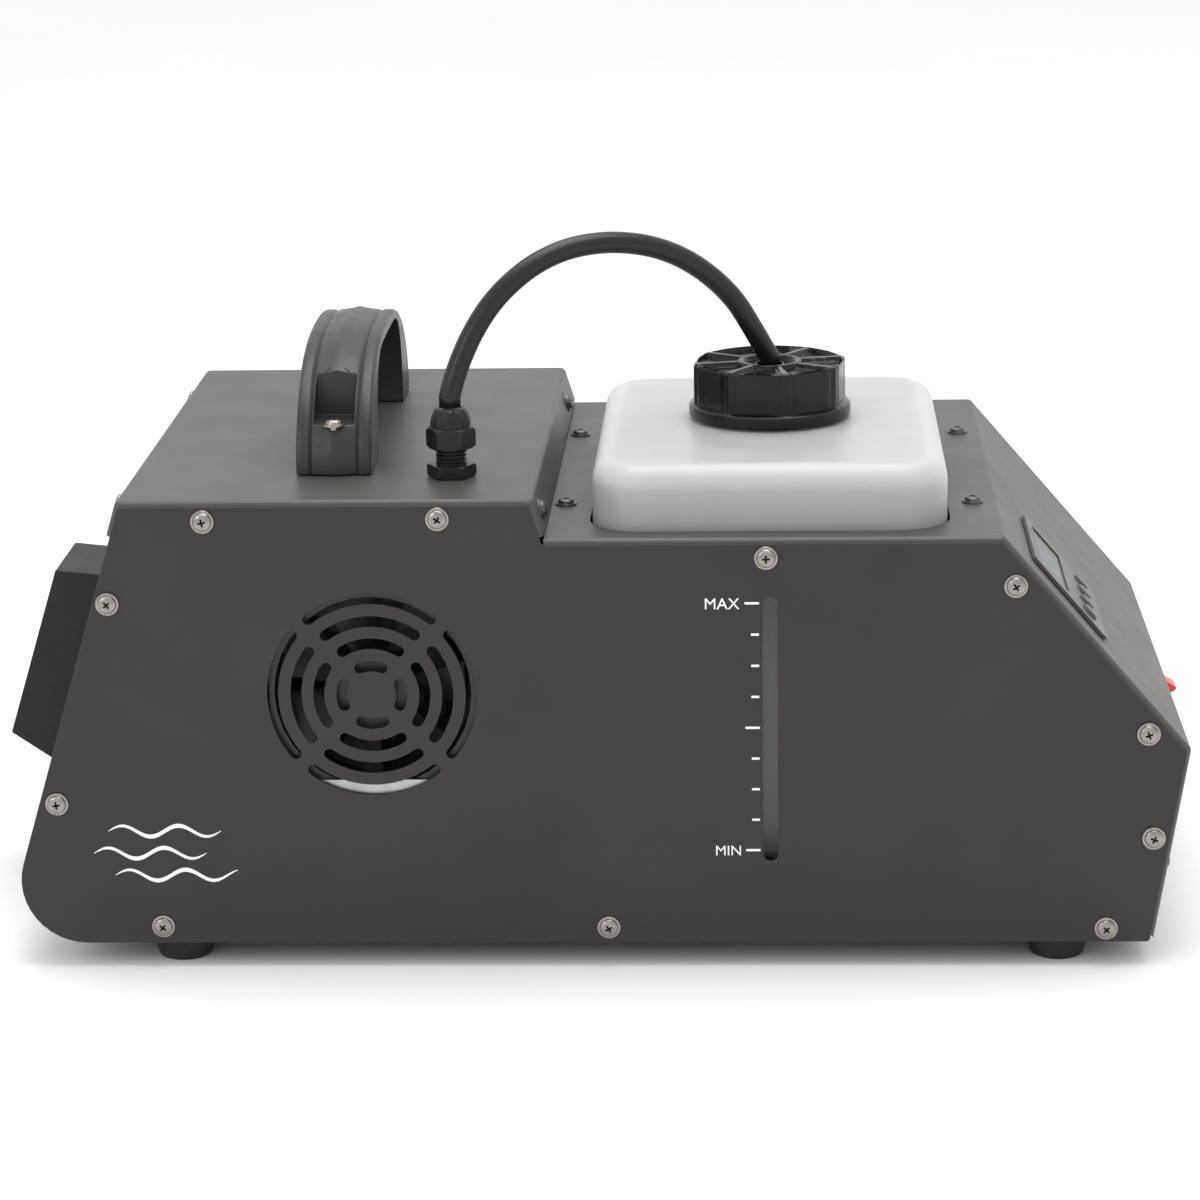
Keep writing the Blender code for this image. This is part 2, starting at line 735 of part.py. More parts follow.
def fan(root, black, zinc):
    x, z = FAN_AT
    half = FAN_SIZE / 2
    front = -HALF + SHEET + 2.1
    frame = prism(
        rounded(centred(FAN_AT, (FAN_SIZE, FAN_SIZE)), 4, 3, True), front, front + FAN_DEPTH, "XZ"
    )
    housing = part("fan_frame", frame, black, root)
    bore = prism(circle(FAN_AT, 38, 32), front - 1, front + FAN_DEPTH - 3, "XZ")
    openings = []
    for quarter in range(4):
        outline = arc_slot_outline(FAN_AT, 26.5, quarter * math.pi / 2, 7.0, 17.0, 6)
        openings.append(prism(outline, front + FAN_DEPTH - 4, front + FAN_DEPTH + 1, "XZ"))
    cut(housing, bore)
    cut(housing, *openings)
    hub = turned([(15.5, -9), (16.5, -8), (16.5, 9), (15.5, 10)], 20)
    middle = (x, front + 11.5, z)
    rotor = part("fan_rotor", hub, black, root, middle, (math.pi / 2, 0, 0))
    blades = []
    for k in range(7):
        blade = loft([blade_ring(15.5, 48), blade_ring(26, 38), blade_ring(36.6, 30)])
        blades.append(moved(blade, (0, 0, 0), (0, 0, 2 * math.pi * k / 7)))
    unite(rotor, *blades)
    lip, shelf, back = -HALF + SHEET + 0.5, z - half - 2.4, front + FAN_DEPTH + 0.8
    foot = PAN_Z + SHEET + GAP
    path = [(back + 12, foot), (back, foot), (back, shelf), (lip, shelf), (lip, z - 34.7)]
    across = strip(x - half - 2, x + half + 2, 0, 1.2)
    part("fan_bracket", swept(path, across, "YZ"), zinc, root)


def blade_ring(r, pitch):
    """A blade's section at one radius, pitched about the radius, as four corners."""
    angle = math.radians(pitch)
    chord, thick = 0.42 * r + 5, 0.9
    corners = [(-chord, -thick), (chord, -thick), (chord, thick), (-chord, thick)]
    ring = []
    for a, b in corners:
        across = (a * math.cos(angle) - b * math.sin(angle)) * 0.62
        height = (a * math.sin(angle) + b * math.cos(angle)) * 0.55
        ring.append((*polar((0, 0), r, across / r), height))
    return ring


# Heater and pump


def heater(root, alloy, brass, zinc, black):
    block = centred((0, sum(HEATER_Z) / 2), (2 * HEATER_HALF, HEATER_Z[1] - HEATER_Z[0]))
    body = part("heater_block", prism(rounded(block, 6, 3, True), *HEATER_X, "YZ"), alloy, root)
    grooves = []
    for k in range(6):
        x = 46.0 + 18 * k
        grooves.append(box((x, x + 6), (-40, 40), (HEATER_Z[1] - 4, HEATER_Z[1] + 5)))
    cut(body, *grooves)
    tube = [(7.2, 0.3), (7.2, 7), (5.5, 8), (5.5, 30), (4.0, 33), (2.2, 33), (2.2, 22)]
    at = (HEATER_X[0] - GAP, 0, NOZZLE_Z)
    part("outlet_nozzle", turned(tube, 16), brass, root, at, (0, -math.pi / 2, 0))
    part(
        "thermostat",
        turned([(8, 0), (8, 5), (5.5, 6), (5.5, 9)], 16),
        black,
        root,
        (121, 0, HEATER_Z[1] + GAP),
    )
    foot = PAN_Z + SHEET + GAP + 1.2
    saddle = [(-37, foot), (-26, foot), (-26, 55.6), (26, 55.6), (26, foot), (37, foot)]
    part("heater_bracket", swept(saddle, strip(70, 115, 0, 1.2), "YZ"), zinc, root)
    hood = [(-54, foot), (-44, foot), (-44, 126), (44, 126), (44, foot), (54, foot)]
    part("heater_shield", swept(hood, strip(42, 148, 0, 1.2), "YZ"), zinc, root)


def pump(root, black, steel, zinc):
    at = PUMP_AT
    turn = (0, math.pi / 2, 0)
    shell = [(3.0, 0), (3.0, 9), (5, 10), (5, 16), (10, 18), (10, 90)]
    body = part("pump_body", turned(shell, 16), black, root, at, turn)
    unite(body, prism(rounded(centred((0, 0), (34, 34)), 3, 2, True), 28, 66))
    cut(body, turned([(PUMP_BORE_R, 44), (PUMP_BORE_R, 92)], 14))
    rod = [(3.5, 48), (6.2, 50), (6.2, 78), (3.5, 80)]
    part("pump_plunger", turned(rod, 14), steel, root, at, turn)
    end = [(5.8, 84), (5.8, 90.3), (10, 90.3), (10, 95), (2.6, 95), (2.6, 104)]
    part("pump_end", turned(end, 14), black, root, at, turn)
    foot = PAN_Z + SHEET + GAP + 1.2
    low = at[2] - 17.4
    y = at[1]
    path = [(y - 28, foot), (y - 17, foot), (y - 17, low), (y + 17, low), (y + 17, foot), (y + 28, foot)]
    part("pump_bracket", swept(path, strip(94, 124, 0, 1.2), "YZ"), zinc, root)


def tank_shelf(root, zinc):
    foot = PAN_Z + SHEET + GAP + 1.5
    ends = (208, 219, 364, 375)
    path = [(ends[0], foot), (ends[1], foot), (ends[1], SHELF_Z), (ends[2], SHELF_Z)]
    path += [(ends[2], foot), (ends[3], foot)]
    part("tank_shelf", swept(path, strip(-100, 52)), zinc, root)


# Electrics


def mains_board(root, green):
    board = part("mains_board", box((232, 346), (90, 91.6), (34, 106)), green, root)
    parts = [box((240, 270), (68, 90.6), (44, 72)), box((278, 300), (72, 90.6), (44, 62))]
    parts += [box((306, 318), (74, 90.6), (40, 66)), box((326, 338), (78, 90.6), (44, 96))]
    for x in (236, 342):
        for z in (38, 102):
            parts.append(moved(turned([(3, 0), (3, 33)], 8), (x, 91.2, z), (-math.pi / 2, 0, 0)))
    unite(board, *parts)


def controls(slope, plastic, green, glass, gray):
    down, y = OVERLAY_AT
    plate = prism(rounded(centred(OVERLAY_AT, OVERLAY_SIZE), 3, 3, True), GAP, 1.6)
    overlay = part("control_overlay", plate, plastic, slope)
    window = centred((down + LCD_SHIFT, y), (LCD_SIZE[0] + 0.6, LCD_SIZE[1] + 0.6))
    holes = [prism(window, -1, 3)]
    row = [(down + BUTTON_SHIFT, y + BUTTON_PITCH * (k - 1.5)) for k in range(4)]
    holes += [prism(circle(spot, BUTTON_R + 0.4, 16), -1, 3) for spot in row]
    cut(overlay, *holes)
    lcd = part(
        "lcd_module", prism(centred((down + LCD_SHIFT, y), (20, 62)), -6.9, -0.3), glass, slope
    )
    unite(lcd, prism(centred((down + LCD_SHIFT, y), LCD_SIZE), -1, 1.0))
    board = part(
        "control_board", prism(centred((down, y), (42, 66)), -9.1, -7.5), green, slope
    )
    unite(board, *[prism(centred(spot, (6, 6)), -8, -6.6) for spot in row])
    names = ("menu", "up", "down", "enter")
    for name, spot in zip(names, row):
        key = turned([(BUTTON_R, -5.6), (BUTTON_R, 2.4), (BUTTON_R - 0.6, 3.0)], 16)
        part(f"button_{name}", key, gray, slope, (*spot, 0))


def rocker_switch(rear, black, red):
    down, y = ROCKER_AT
    bezel = prism(centred((0, 0), (24, 15)), GAP, 1.8)
    frame = part("rocker_frame", bezel, black, rear, (down, y, 0))
    unite(frame, prism(centred((0, 0), (21.4, 13.2)), -11, 1))
    cut(frame, prism(centred((0, 0), (2 * ROCKER_R + 0.8, 2 * ROCKER_HALF_WIDTH + 0.8)), -12, 3))
    side = []
    for k in range(5):
        side.append(polar((0, 0), ROCKER_R, math.radians(-30 + 15 * k)))
    outline = side + [(0, 3.8)] + [(-x, z) for x, z in reversed(side)]
    key = prism(outline, -ROCKER_HALF_WIDTH, ROCKER_HALF_WIDTH, "XZ")
    turn = (0, math.radians(ROCKER_TILT), 0)
    part("rocker", key, red, rear, (down, y, ROCKER_PIVOT), turn)


def mains_inlet(rear, black):
    down, y = INLET_AT
    flange = prism(rounded(centred((0, 0), (31, 52)), 2, 2, True), GAP, 2.8)
    inlet = part("mains_inlet", flange, black, rear, (down, y, 0))
    unite(inlet, prism(centred((0, 0), (INLET_HOLE[0] - 1, INLET_HOLE[1] - 1)), -19, 1))
    socket = [(-8.5, -12.2), (3.6, -12.2), (8.5, -7.3), (8.5, 7.3), (3.6, 12.2), (-8.5, 12.2)]
    hollow = prism([(a, b + SOCKET_SHIFT) for a, b in socket], -13, 4)
    bay = prism(centred((0, FUSE_SHIFT), (FUSE_SIZE[0] + 0.8, FUSE_SIZE[1] + 0.8)), -17, 4)
    cut(inlet, hollow, bay)
    drawer = part(
        "fuse_drawer",
        prism(centred((0, 0), FUSE_SIZE), -16.5, 3.4),
        black,
        rear,
        (down, y + FUSE_SHIFT, 0),
    )
    cut(drawer, box((-8, 8), (-2.6, 2.6), (-18, -3)))


def xlr_sockets(rear, black, steel):
    flange = rounded(centred((0, 0), (31, 26)), 3, 2, True)
    for name, y in XLR_Y.items():
        socket = part(name, prism(flange, GAP, 2.3), steel, rear, (XLR_DOWN, y, 0))
        unite(socket, turned([(XLR_R, -15), (XLR_R, 1)], 20))
        if name == "xlr_in":
            cut(socket, turned([(9.3, -11), (9.3, 4)], 20))
        else:
            cut(socket, turned([(7.6, -9), (7.6, 4), (9.3, 4), (9.3, -9)], 20, True))


def rear_openings(frame):
    """Cutters for the sockets and the switch, drawn in the rear face's frame."""
    spots = [(ROCKER_AT, (22.4, 14.2)), (INLET_AT, INLET_HOLE)]
    tools = [prism(centred(at, size), -6, 3) for at, size in spots]
    tools += [prism(circle((XLR_DOWN, y), XLR_R + 0.5, 20), -6, 3) for y in XLR_Y.values()]
    whole = joined(tools)
    whole.transform(frame)
    return whole


def slope_opening(frame):
    size = (OVERLAY_SIZE[0] - 5, OVERLAY_SIZE[1] - 5)
    mesh = prism(centred(OVERLAY_AT, size), -3, 3)
    mesh.transform(frame)
    return mesh


def face_frame(start, end):
    """Where a sloping face lies: its x runs down the face, its z points out."""
    way = Vector(end) - Vector(start)
    turn = math.atan2(-way.y, way.x)
    return (start[0], 0, start[1]), (0, turn, 0)


def matrix_of(at, turn):
    return Matrix.LocRotScale(Vector(at) * MM, Euler(turn), None)


def face_line(first, second, third):
    """The outer surface's corner at second, and the next one, of the cover over the panel."""
    line = offset([first, second, third], -LAP)
    return line[1], line[2]


def build():
    clear_scene()
    paint = finish("case_paint", (0.045, 0.043, 0.045), 0.55)
    cover_paint = finish("cover_paint", (0.06, 0.058, 0.056), 0.5)
    hood_paint = finish("hood_paint", (0.03, 0.03, 0.03), 0.6)
    steel = finish("nickel_steel", (0.6, 0.58, 0.54), 0.3, 1.0)
    zinc = finish("zinc_sheet", (0.62, 0.63, 0.64), 0.4, 1.0)
    alloy = finish("cast_alloy", (0.55, 0.55, 0.56), 0.5, 1.0)
    brass = finish("brass", (0.7, 0.52, 0.26), 0.35, 1.0)
    black = finish("black_plastic", (0.02, 0.02, 0.021), 0.45)
    gloss = finish("gloss_black_plastic", (0.015, 0.015, 0.016), 0.2)
    grip = finish("handle_plastic", (0.075, 0.074, 0.074), 0.55)
    nylon = finish("black_nylon", (0.018, 0.018, 0.018), 0.38)
    hdpe = finish("tank_plastic", (0.8, 0.82, 0.84), 0.35)
    rubber = finish("foot_rubber", (0.015, 0.015, 0.015), 0.8)
    tubing = finish("hose_rubber", (0.02, 0.02, 0.02), 0.4)
    clear = finish("clear_tube", (0.75, 0.76, 0.74), 0.25)
    green = finish("circuit_board", (0.05, 0.2, 0.09), 0.5)
    glass = finish("lcd_glass", (0.1, 0.16, 0.3), 0.1)
    red = finish("switch_red", (0.6, 0.02, 0.03), 0.25)
    gray = finish("button_plastic", (0.16, 0.16, 0.17), 0.45)

    root = empty("fog_machine", (-X_MID, 0, FOOT_HEIGHT))
    slope_at = face_frame(*face_line(DECK_STEP, DECK_REAR, REAR_RIDGE))
    rear_at = face_frame(*face_line(DECK_REAR, REAR_RIDGE, REAR_FOOT))
    slope = empty("control_slope", *slope_at, root)
    rear = empty("rear_face", *rear_at, root)

    side_panels(root, paint)
    top_cover(root, cover_paint)
    deck = deck_cover(root, cover_paint)
    cut(deck, rear_openings(matrix_of(*rear_at)), slope_opening(matrix_of(*slope_at)))
    base_pan(root, paint)
    outlet_hood(root, hood_paint)
    feet(root, rubber)
    near_screws(root, steel)
    handle(root, grip)
    tank(root, hdpe)
    cap(root, gloss, rubber)
    pickup(root, clear, steel)
    hoses(root, tubing, clear)
    gland(root, nylon)
    fan(root, black, zinc)
    heater(root, alloy, brass, zinc, black)
    pump(root, black, steel, zinc)
    tank_shelf(root, zinc)
    mains_board(root, green)
    controls(slope, gloss, green, glass, gray)
    rocker_switch(rear, black, red)
    mains_inlet(rear, black)
    xlr_sockets(rear, black, zinc)


build()
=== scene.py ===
"""Fog machine: the visible surfaces, materials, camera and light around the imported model.

Shapes are drawn in millimetres in the case's own frame: x runs back from the front panel's foot,
y = 0 is the middle of the case, z = 0 is the lower edge of the side panels, and the near side is
-y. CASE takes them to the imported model's frame, which is in metres.
"""

import json
import math

import bmesh
import bpy
from mathutils import Euler, Matrix, Vector


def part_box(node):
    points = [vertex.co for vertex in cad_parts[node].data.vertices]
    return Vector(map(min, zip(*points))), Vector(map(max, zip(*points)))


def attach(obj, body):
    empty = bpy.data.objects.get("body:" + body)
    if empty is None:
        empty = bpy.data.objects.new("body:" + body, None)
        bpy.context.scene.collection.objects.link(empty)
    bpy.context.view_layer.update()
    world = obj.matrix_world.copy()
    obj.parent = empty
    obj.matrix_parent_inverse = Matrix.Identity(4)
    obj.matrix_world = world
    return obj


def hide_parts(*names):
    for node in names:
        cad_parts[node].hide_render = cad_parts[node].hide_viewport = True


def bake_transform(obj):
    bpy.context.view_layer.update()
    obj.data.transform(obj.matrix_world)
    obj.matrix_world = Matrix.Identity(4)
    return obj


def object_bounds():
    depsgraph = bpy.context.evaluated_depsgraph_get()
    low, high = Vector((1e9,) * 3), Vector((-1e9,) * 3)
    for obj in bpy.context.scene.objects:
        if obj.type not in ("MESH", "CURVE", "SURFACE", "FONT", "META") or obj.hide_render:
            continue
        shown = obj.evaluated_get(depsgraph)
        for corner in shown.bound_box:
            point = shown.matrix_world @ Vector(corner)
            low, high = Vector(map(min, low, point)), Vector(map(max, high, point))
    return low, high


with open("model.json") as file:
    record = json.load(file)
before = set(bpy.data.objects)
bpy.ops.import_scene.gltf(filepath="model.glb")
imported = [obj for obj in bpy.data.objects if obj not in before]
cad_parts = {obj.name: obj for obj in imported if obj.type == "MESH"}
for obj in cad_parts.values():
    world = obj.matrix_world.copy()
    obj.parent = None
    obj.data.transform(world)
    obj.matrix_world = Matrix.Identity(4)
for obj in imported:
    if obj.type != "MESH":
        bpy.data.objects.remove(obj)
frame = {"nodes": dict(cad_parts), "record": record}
cad_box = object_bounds()

MM = 0.001

# Case, as in the CAD model
HALF = 126.5
SHEET = 1.5
GAP = 0.3
LAP = SHEET + GAP
FLANGE = 14.0
BEND_R = 2.5
SHEET_HALF = HALF - SHEET - GAP
PAN_Z = 0.3
TOP_FRONT = (43.9, 175.1)
TOP_STEP = (199.9, 175.1)
DECK_STEP = (204.8, 159.5)
DECK_START = 205.3
DECK_REAR = (378.7, 159.5)
REAR_RIDGE = (450.0, 76.3)
REAR_FOOT = (437.1, 0.0)
FRONT_FOOT = (-10.0, 0.0)
NOSE_R = 25.0
LID_FRONT_DROP = 12.5
LID_STEP_END = 162.0
SIDE_SCREWS = [(76.1, 169.5), (165.5, 170.0), (289.7, 154.1), (384.0, 142.6), (435.1, 84.0)]
SIDE_SCREWS += [(437.9, 42.2), (420.3, 5.6), (228.0, 6.3), (53.9, 7.0), (14.6, 57.2), (38.2, 137.4)]
DECK_SCREWS = [(x, y) for x in (211.3, 370.5) for y in (-68.5, 56.0)]
STEP_SCREWS_Y = (-108.0, 86.0)
LID_SCREWS_Y = (-96.0, 96.0)
HANDLE_SCREWS_Y = (-77.0, 77.0)
FAN_AT = (138.5, 100.7)
GRILLE_RADII = (38.2, 29.2, 20.4, 11.5)
GRILLE_SLOT = 4.2
GRILLE_WEB = 5.0
LEVEL_X = 291.0
LEVEL_Z = (33.2, 138.8)
LEVEL_WIDTH = 5.8
VENT_X = (62.0, 12.0, 6)  # first, pitch, count
VENT_Z = 84.0
VENT_HALF = (26.0, 2.1)
TAB_HALF = 110.0
EDGE_ROUND = 0.25

# Tank, cap, hose and handle
TANK_X = (222.9, 359.6)
TANK_Y = (-112.5, 63.5)
TANK_Z = (28.0, 186.0)
TANK_CORNER = 20.0
TANK_SHOULDER = 9.0
CAP_AT = (291.5, -20.5)
CAP_Z = (187.2, 209.0)
CAP_RIBS = 8
CAP_RIB_TURN = math.radians(-77.3)
GLAND_AT = (168.0, -84.5)
HOSE_D = 8.5
HOSE_ROUTE = [  # (share of the way from gland to cap, height)
    (0.0, 204.4),
    (0.0, 208.5),
    (0.012, 214.0),
    (0.035, 222.0),
    (0.071, 231.5),
    (0.122, 241.3),
    (0.183, 249.3),
    (0.264, 256.5),
    (0.361, 261.2),
    (0.462, 262.6),
    (0.556, 261.5),
    (0.647, 258.3),
    (0.737, 252.5),
    (0.82, 244.2),
    (0.889, 234.4),
    (0.941, 223.5),
    (0.98, 214.5),
    (1.0, 210.0),
    (1.0, 206.1),
]
HANDLE_X = (107.0, 136.6)
HANDLE_Y = -1.5
HANDLE_OUT = (82.0, 46.2)
HANDLE_IN = (54.0, 41.0)
HANDLE_FOOT = 177.3
HANDLE_WALL = 6.8
POCKET_Z = 196.0
POCKET_REACH = (58.0, 95.0)

# Outlet, feet, controls and rear face
HOOD_HALF = 23.5
NOZZLE_AT = (15.4, 0, 80)
NOZZLE_HOLE_R = 8.5
HOOD_TOP = ((26.6, 121.0), (-1.3, 124.0))
HOOD_BOTTOM = ((1.0, 38.0), (-23.3, 54.6))
FEET_X = (59.5, 402.7)
FOOT_Y = 109.5
OVERLAY_AT = (40.3, -69.8)
OVERLAY_SIZE = (43.5, 70.5)
ROCKER_AT = (18.0, 10.0)
ROCKER_HOLE = (22.4, 14.2)
ROCKER_HALF_WIDTH = 5.0
ROCKER_PIVOT = 1.0
ROCKER_TILT = 14.0
INLET_AT = (42.0, 74.0)
INLET_HOLE = (27.0, 47.0)
SOCKET_SHIFT = -8.5
FUSE_SHIFT = 15.5
XLR_Y = {"xlr_in": -92.0, "xlr_out": -56.0}
XLR_DOWN = 41.0
XLR_HOLE_R = 12.0
XLR_PIN_RING = 4.4
OVERLAY_LAP = 5.0

tank_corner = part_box("tank")[0]
CASE_AT = (tank_corner.x - TANK_X[0] * MM, 0.0, tank_corner.z - TANK_Z[0] * MM)
CASE = Matrix.Translation(CASE_AT) @ Matrix.Scale(MM, 4)


# Paths and outlines


def turn_between(first, second):
    return math.atan2(first.x * second.y - first.y * second.x, first.dot(second))


def rounded(points, radius, steps=8, closed=False):
    """The path with an arc in place of each corner. radius is one number, or one for each point."""
    radii = radius if isinstance(radius, (list, tuple)) else [radius] * len(points)
    spots = [Vector(p) for p in points]
    count, path = len(spots), []
    for i, spot in enumerate(spots):
        if (not closed and i in (0, count - 1)) or radii[i] == 0:
            path.append(spot)
            continue
        before = (spot - spots[i - 1]).normalized()
        after = (spots[(i + 1) % count] - spot).normalized()
        turn = turn_between(before, after)
        start = spot - before * radii[i] * math.tan(abs(turn) / 2)
        side = Vector((-before.y, before.x)) * math.copysign(1, turn)
        centre = start + side * radii[i]
        for k in range(steps + 1):
            path.append(centre + Matrix.Rotation(turn * k / steps, 2) @ (start - centre))
    return path


def inward(path, before=None, after=None):
    """Mitre vectors to the right of the path's travel, which is under a sheet drawn clockwise."""
    spots = [Vector(p) for p in path]
    first = Vector(before) if before else 2 * spots[0] - spots[1]
    last = Vector(after) if after else 2 * spots[-1] - spots[-2]
    line = [first, *spots, last]
    mitres = []
    for a, b, c in zip(line, line[1:], line[2:]):
        n_in = Vector(((b - a).y, -(b - a).x)).normalized()
        n_out = Vector(((c - b).y, -(c - b).x)).normalized()
        mitres.append((n_in + n_out) / (1 + n_in.dot(n_out)))
    return mitres


def offset(path, depth, before=None, after=None):
    return [Vector(p) + m * depth for p, m in zip(path, inward(path, before, after))]


def toward(start, end, distance):
    """The point that lies this far from start on the way to end."""
    way = (Vector(end) - Vector(start)).normalized()
    return Vector(start) + way * distance


def polar(centre, radius, angle):
    return (centre[0] + radius * math.cos(angle), centre[1] + radius * math.sin(angle))


def circle(centre, radius, sides=32):
    return [polar(centre, radius, 2 * math.pi * k / sides) for k in range(sides)]


def centred(centre, size):
    """The corners of a rectangle about its centre."""
    (x, y), (a, b) = centre, (size[0] / 2, size[1] / 2)
    return [(x - a, y - b), (x + a, y - b), (x + a, y + b), (x - a, y + b)]


def slot_outline(centre, half_length, half_width, steps=10):
    """A round-ended slot along the second axis."""
    points = []
    for side in (1, -1):
        end = (centre[0], centre[1] + side * (half_length - half_width))
        for k in range(steps + 1):
            angle = math.pi * (k / steps + (side < 0))
            points.append(polar(end, half_width, angle))
    return points


def arc_slot_outline(centre, radius, middle, web, width, steps=24):
    """A round-ended slot bent along a circle, a quarter of it long less the web."""
    half = width / 2
    reach = math.pi / 4 - (web / 2 + half) / radius
    points = []
    for side in (1, -1):
        for k in range(steps + 1):
            angle = middle + side * reach * (2 * k / steps - 1)
            points.append(polar(centre, radius + side * half, angle))
        tip = polar(centre, radius, middle + side * reach)
        for k in range(1, 6):
            points.append(polar(tip, half, middle + side * reach + math.pi * (k / 6 + (side < 0))))
    return points


def catmull(points, spacing):
    """Evenly spaced points on the smooth curve through the given ones."""
    spots = [Vector(p) for p in points]
    ends = [2 * spots[0] - spots[1], *spots, 2 * spots[-1] - spots[-2]]
    fine = []
    for a, b, c, d in zip(ends, ends[1:], ends[2:], ends[3:]):
        for k in range(20):
            t = k / 20
            fine.append(
                0.5 * (2 * b + (c - a) * t + (2 * a - 5 * b + 4 * c - d) * t * t)
                + 0.5 * (3 * b - a - 3 * c + d) * t**3
            )
    fine.append(spots[-1])
    lengths = [0.0]
    for a, b in zip(fine, fine[1:]):
        lengths.append(lengths[-1] + (b - a).length)
    count = max(4, round(lengths[-1] / spacing))
    even, i = [], 0
    for k in range(count + 1):
        want = lengths[-1] * k / count
        while i < len(fine) - 2 and lengths[i + 1] < want:
            i += 1
        share = (want - lengths[i]) / (lengths[i + 1] - lengths[i])
        even.append(fine[i].lerp(fine[i + 1], share))
    return even


# Shapes, as bmeshes in millimetres


def loft(rings, closed=False):
    """One body through rings of equally many points, capped at both ends unless it closes."""
    mesh = bmesh.new()
    loops = [[mesh.verts.new(p) for p in ring] for ring in rings]
    following = loops[1:] + loops[:1] if closed else loops[1:]
    for low, high in zip(loops, following):
        for i in range(len(low)):
            j = (i + 1) % len(low)
            mesh.faces.new((low[i], low[j], high[j], high[i]))
    if not closed:
        mesh.faces.new(loops[0])
        mesh.faces.new(loops[-1])
    bmesh.ops.recalc_face_normals(mesh, faces=mesh.faces)
    return mesh


def spot_in(plane, flat, height):
    """A point drawn flat in a plane, at a height along the axis that the plane faces."""
    a, b = flat
    return {"XY": (a, b, height), "XZ": (a, height, b), "YZ": (height, a, b)}[plane]


def prism(outline, low, high, plane="XY"):
    return loft([[spot_in(plane, p, h) for p in outline] for h in (low, high)])


def box(x_range, y_range, z_range):
    (x0, x1), (y0, y1) = x_range, y_range
    return prism([(x0, y0), (x1, y0), (x1, y1), (x0, y1)], *z_range)


def swept(path, section):
    """A sheet along a path in XZ. The section's points are (place across it, depth under it)."""
    rings = []
    for spot, mitre in zip(path, inward(path)):
        rings.append([spot_in("XZ", Vector(spot) + mitre * d, across) for across, d in section])
    return loft(rings)


def folded(corners, radius, section, before=None, after=None, steps=10):
    """A sheet bent in XZ along a line of corners, of the same kind of section as swept().

    At a bend, what lies deeper than the radius meets on the mitre, so flanges never cross.
    """
    spots = [Vector(p) for p in corners]
    rings = []
    for i, (spot, mitre) in enumerate(zip(spots, inward(corners, before, after))):
        if i in (0, len(spots) - 1):
            rings.append([spot_in("XZ", spot + mitre * d, across) for across, d in section])
            continue
        start = (spot - spots[i - 1]).normalized()
        end = (spots[i + 1] - spot).normalized()
        turn = turn_between(start, end)
        centre = spot + mitre * radius
        out = Vector((-start.y, start.x))
        for k in range(steps + 1):
            facing = Matrix.Rotation(turn * k / steps, 2) @ out
            ring = []
            for across, d in section:
                flat = centre + facing * (radius - d) if d < radius else spot + mitre * d
                ring.append(spot_in("XZ", flat, across))
            rings.append(ring)
    mesh = loft(rings)
    bmesh.ops.remove_doubles(mesh, verts=mesh.verts, dist=1e-3)
    bmesh.ops.recalc_face_normals(mesh, faces=mesh.faces)
    return mesh


def channel(half):
    """The section of a sheet whose two edges are bent down."""
    outer = [(-half, FLANGE), (-half, 0), (half, 0), (half, FLANGE)]
    wall = half - SHEET
    inner = [(wall, FLANGE), (wall, SHEET), (-wall, SHEET), (-wall, FLANGE)]
    return rounded(outer, BEND_R) + rounded(inner, BEND_R - SHEET)


def strip(low, high, depth=0.0, thick=SHEET):
    """The section of a flat strip."""
    return [(low, depth), (high, depth), (high, depth + thick), (low, depth + thick)]


def turned(profile, sides=48, closed=False, radius=None):
    """A body of rings about the Z axis. radius, if given, turns (r, angle) into another r."""
    rings = []
    for r, z in profile:
        ring = []
        for k in range(sides):
            angle = 2 * math.pi * k / sides
            ring.append((*polar((0, 0), radius(r, angle) if radius else r, angle), z))
        rings.append(ring)
    return loft(rings, closed)


def moved(mesh, at=(0, 0, 0), turn=(0, 0, 0)):
    mesh.transform(Matrix.LocRotScale(Vector(at), Euler(turn), None))
    return mesh


def joined(meshes):
    """Several shapes in one bmesh."""
    whole = bmesh.new()
    for mesh in meshes:
        data = bpy.data.meshes.new("shape")
        mesh.to_mesh(data)
        whole.from_mesh(data)
        mesh.free()
        bpy.data.meshes.remove(data)
    return whole


def sheet_metal(outlines, low, high, edge=0.25):
    """A flat sheet in XY with rounded edges. The first outline is its rim, and the others holes."""
    curve = bpy.data.curves.new("sheet", "CURVE")
    curve.dimensions = "2D"
    curve.fill_mode = "BOTH"
    curve.extrude = (high - low) / 2 - edge
    curve.bevel_depth = edge
    curve.bevel_resolution = 2
    curve.offset = -edge
    for outline in outlines:
        spline = curve.splines.new("POLY")
        spline.points.add(len(outline) - 1)
        for point, (x, y) in zip(spline.points, outline):
            point.co = (x, y, 0, 1)
        spline.use_cyclic_u = True
    obj = bpy.data.objects.new("sheet", curve)
    data = bpy.data.meshes.new_from_object(obj)
    mesh = bmesh.new()
    mesh.from_mesh(data)
    bpy.data.objects.remove(obj)
    bpy.data.curves.remove(curve)
    bpy.data.meshes.remove(data)
    bmesh.ops.remove_doubles(mesh, verts=mesh.verts, dist=1e-4)
    return moved(mesh, (0, 0, (low + high) / 2))


# Pieces


def shape(name, mesh, into=None):
    """An object from a shape in millimetres, in the case's frame or in one drawn within it."""
    data = bpy.data.meshes.new(name)
    mesh.transform(CASE @ into if into else CASE)
    mesh.to_mesh(data)
    mesh.free()
    obj = bpy.data.objects.new(name, data)
    bpy.context.scene.collection.objects.link(obj)
    return obj


def settle(obj):
    """Puts the object's modifiers into its mesh."""
    graph = bpy.context.evaluated_depsgraph_get()
    data = bpy.data.meshes.new_from_object(obj.evaluated_get(graph))
    obj.modifiers.clear()
    obj.data = data


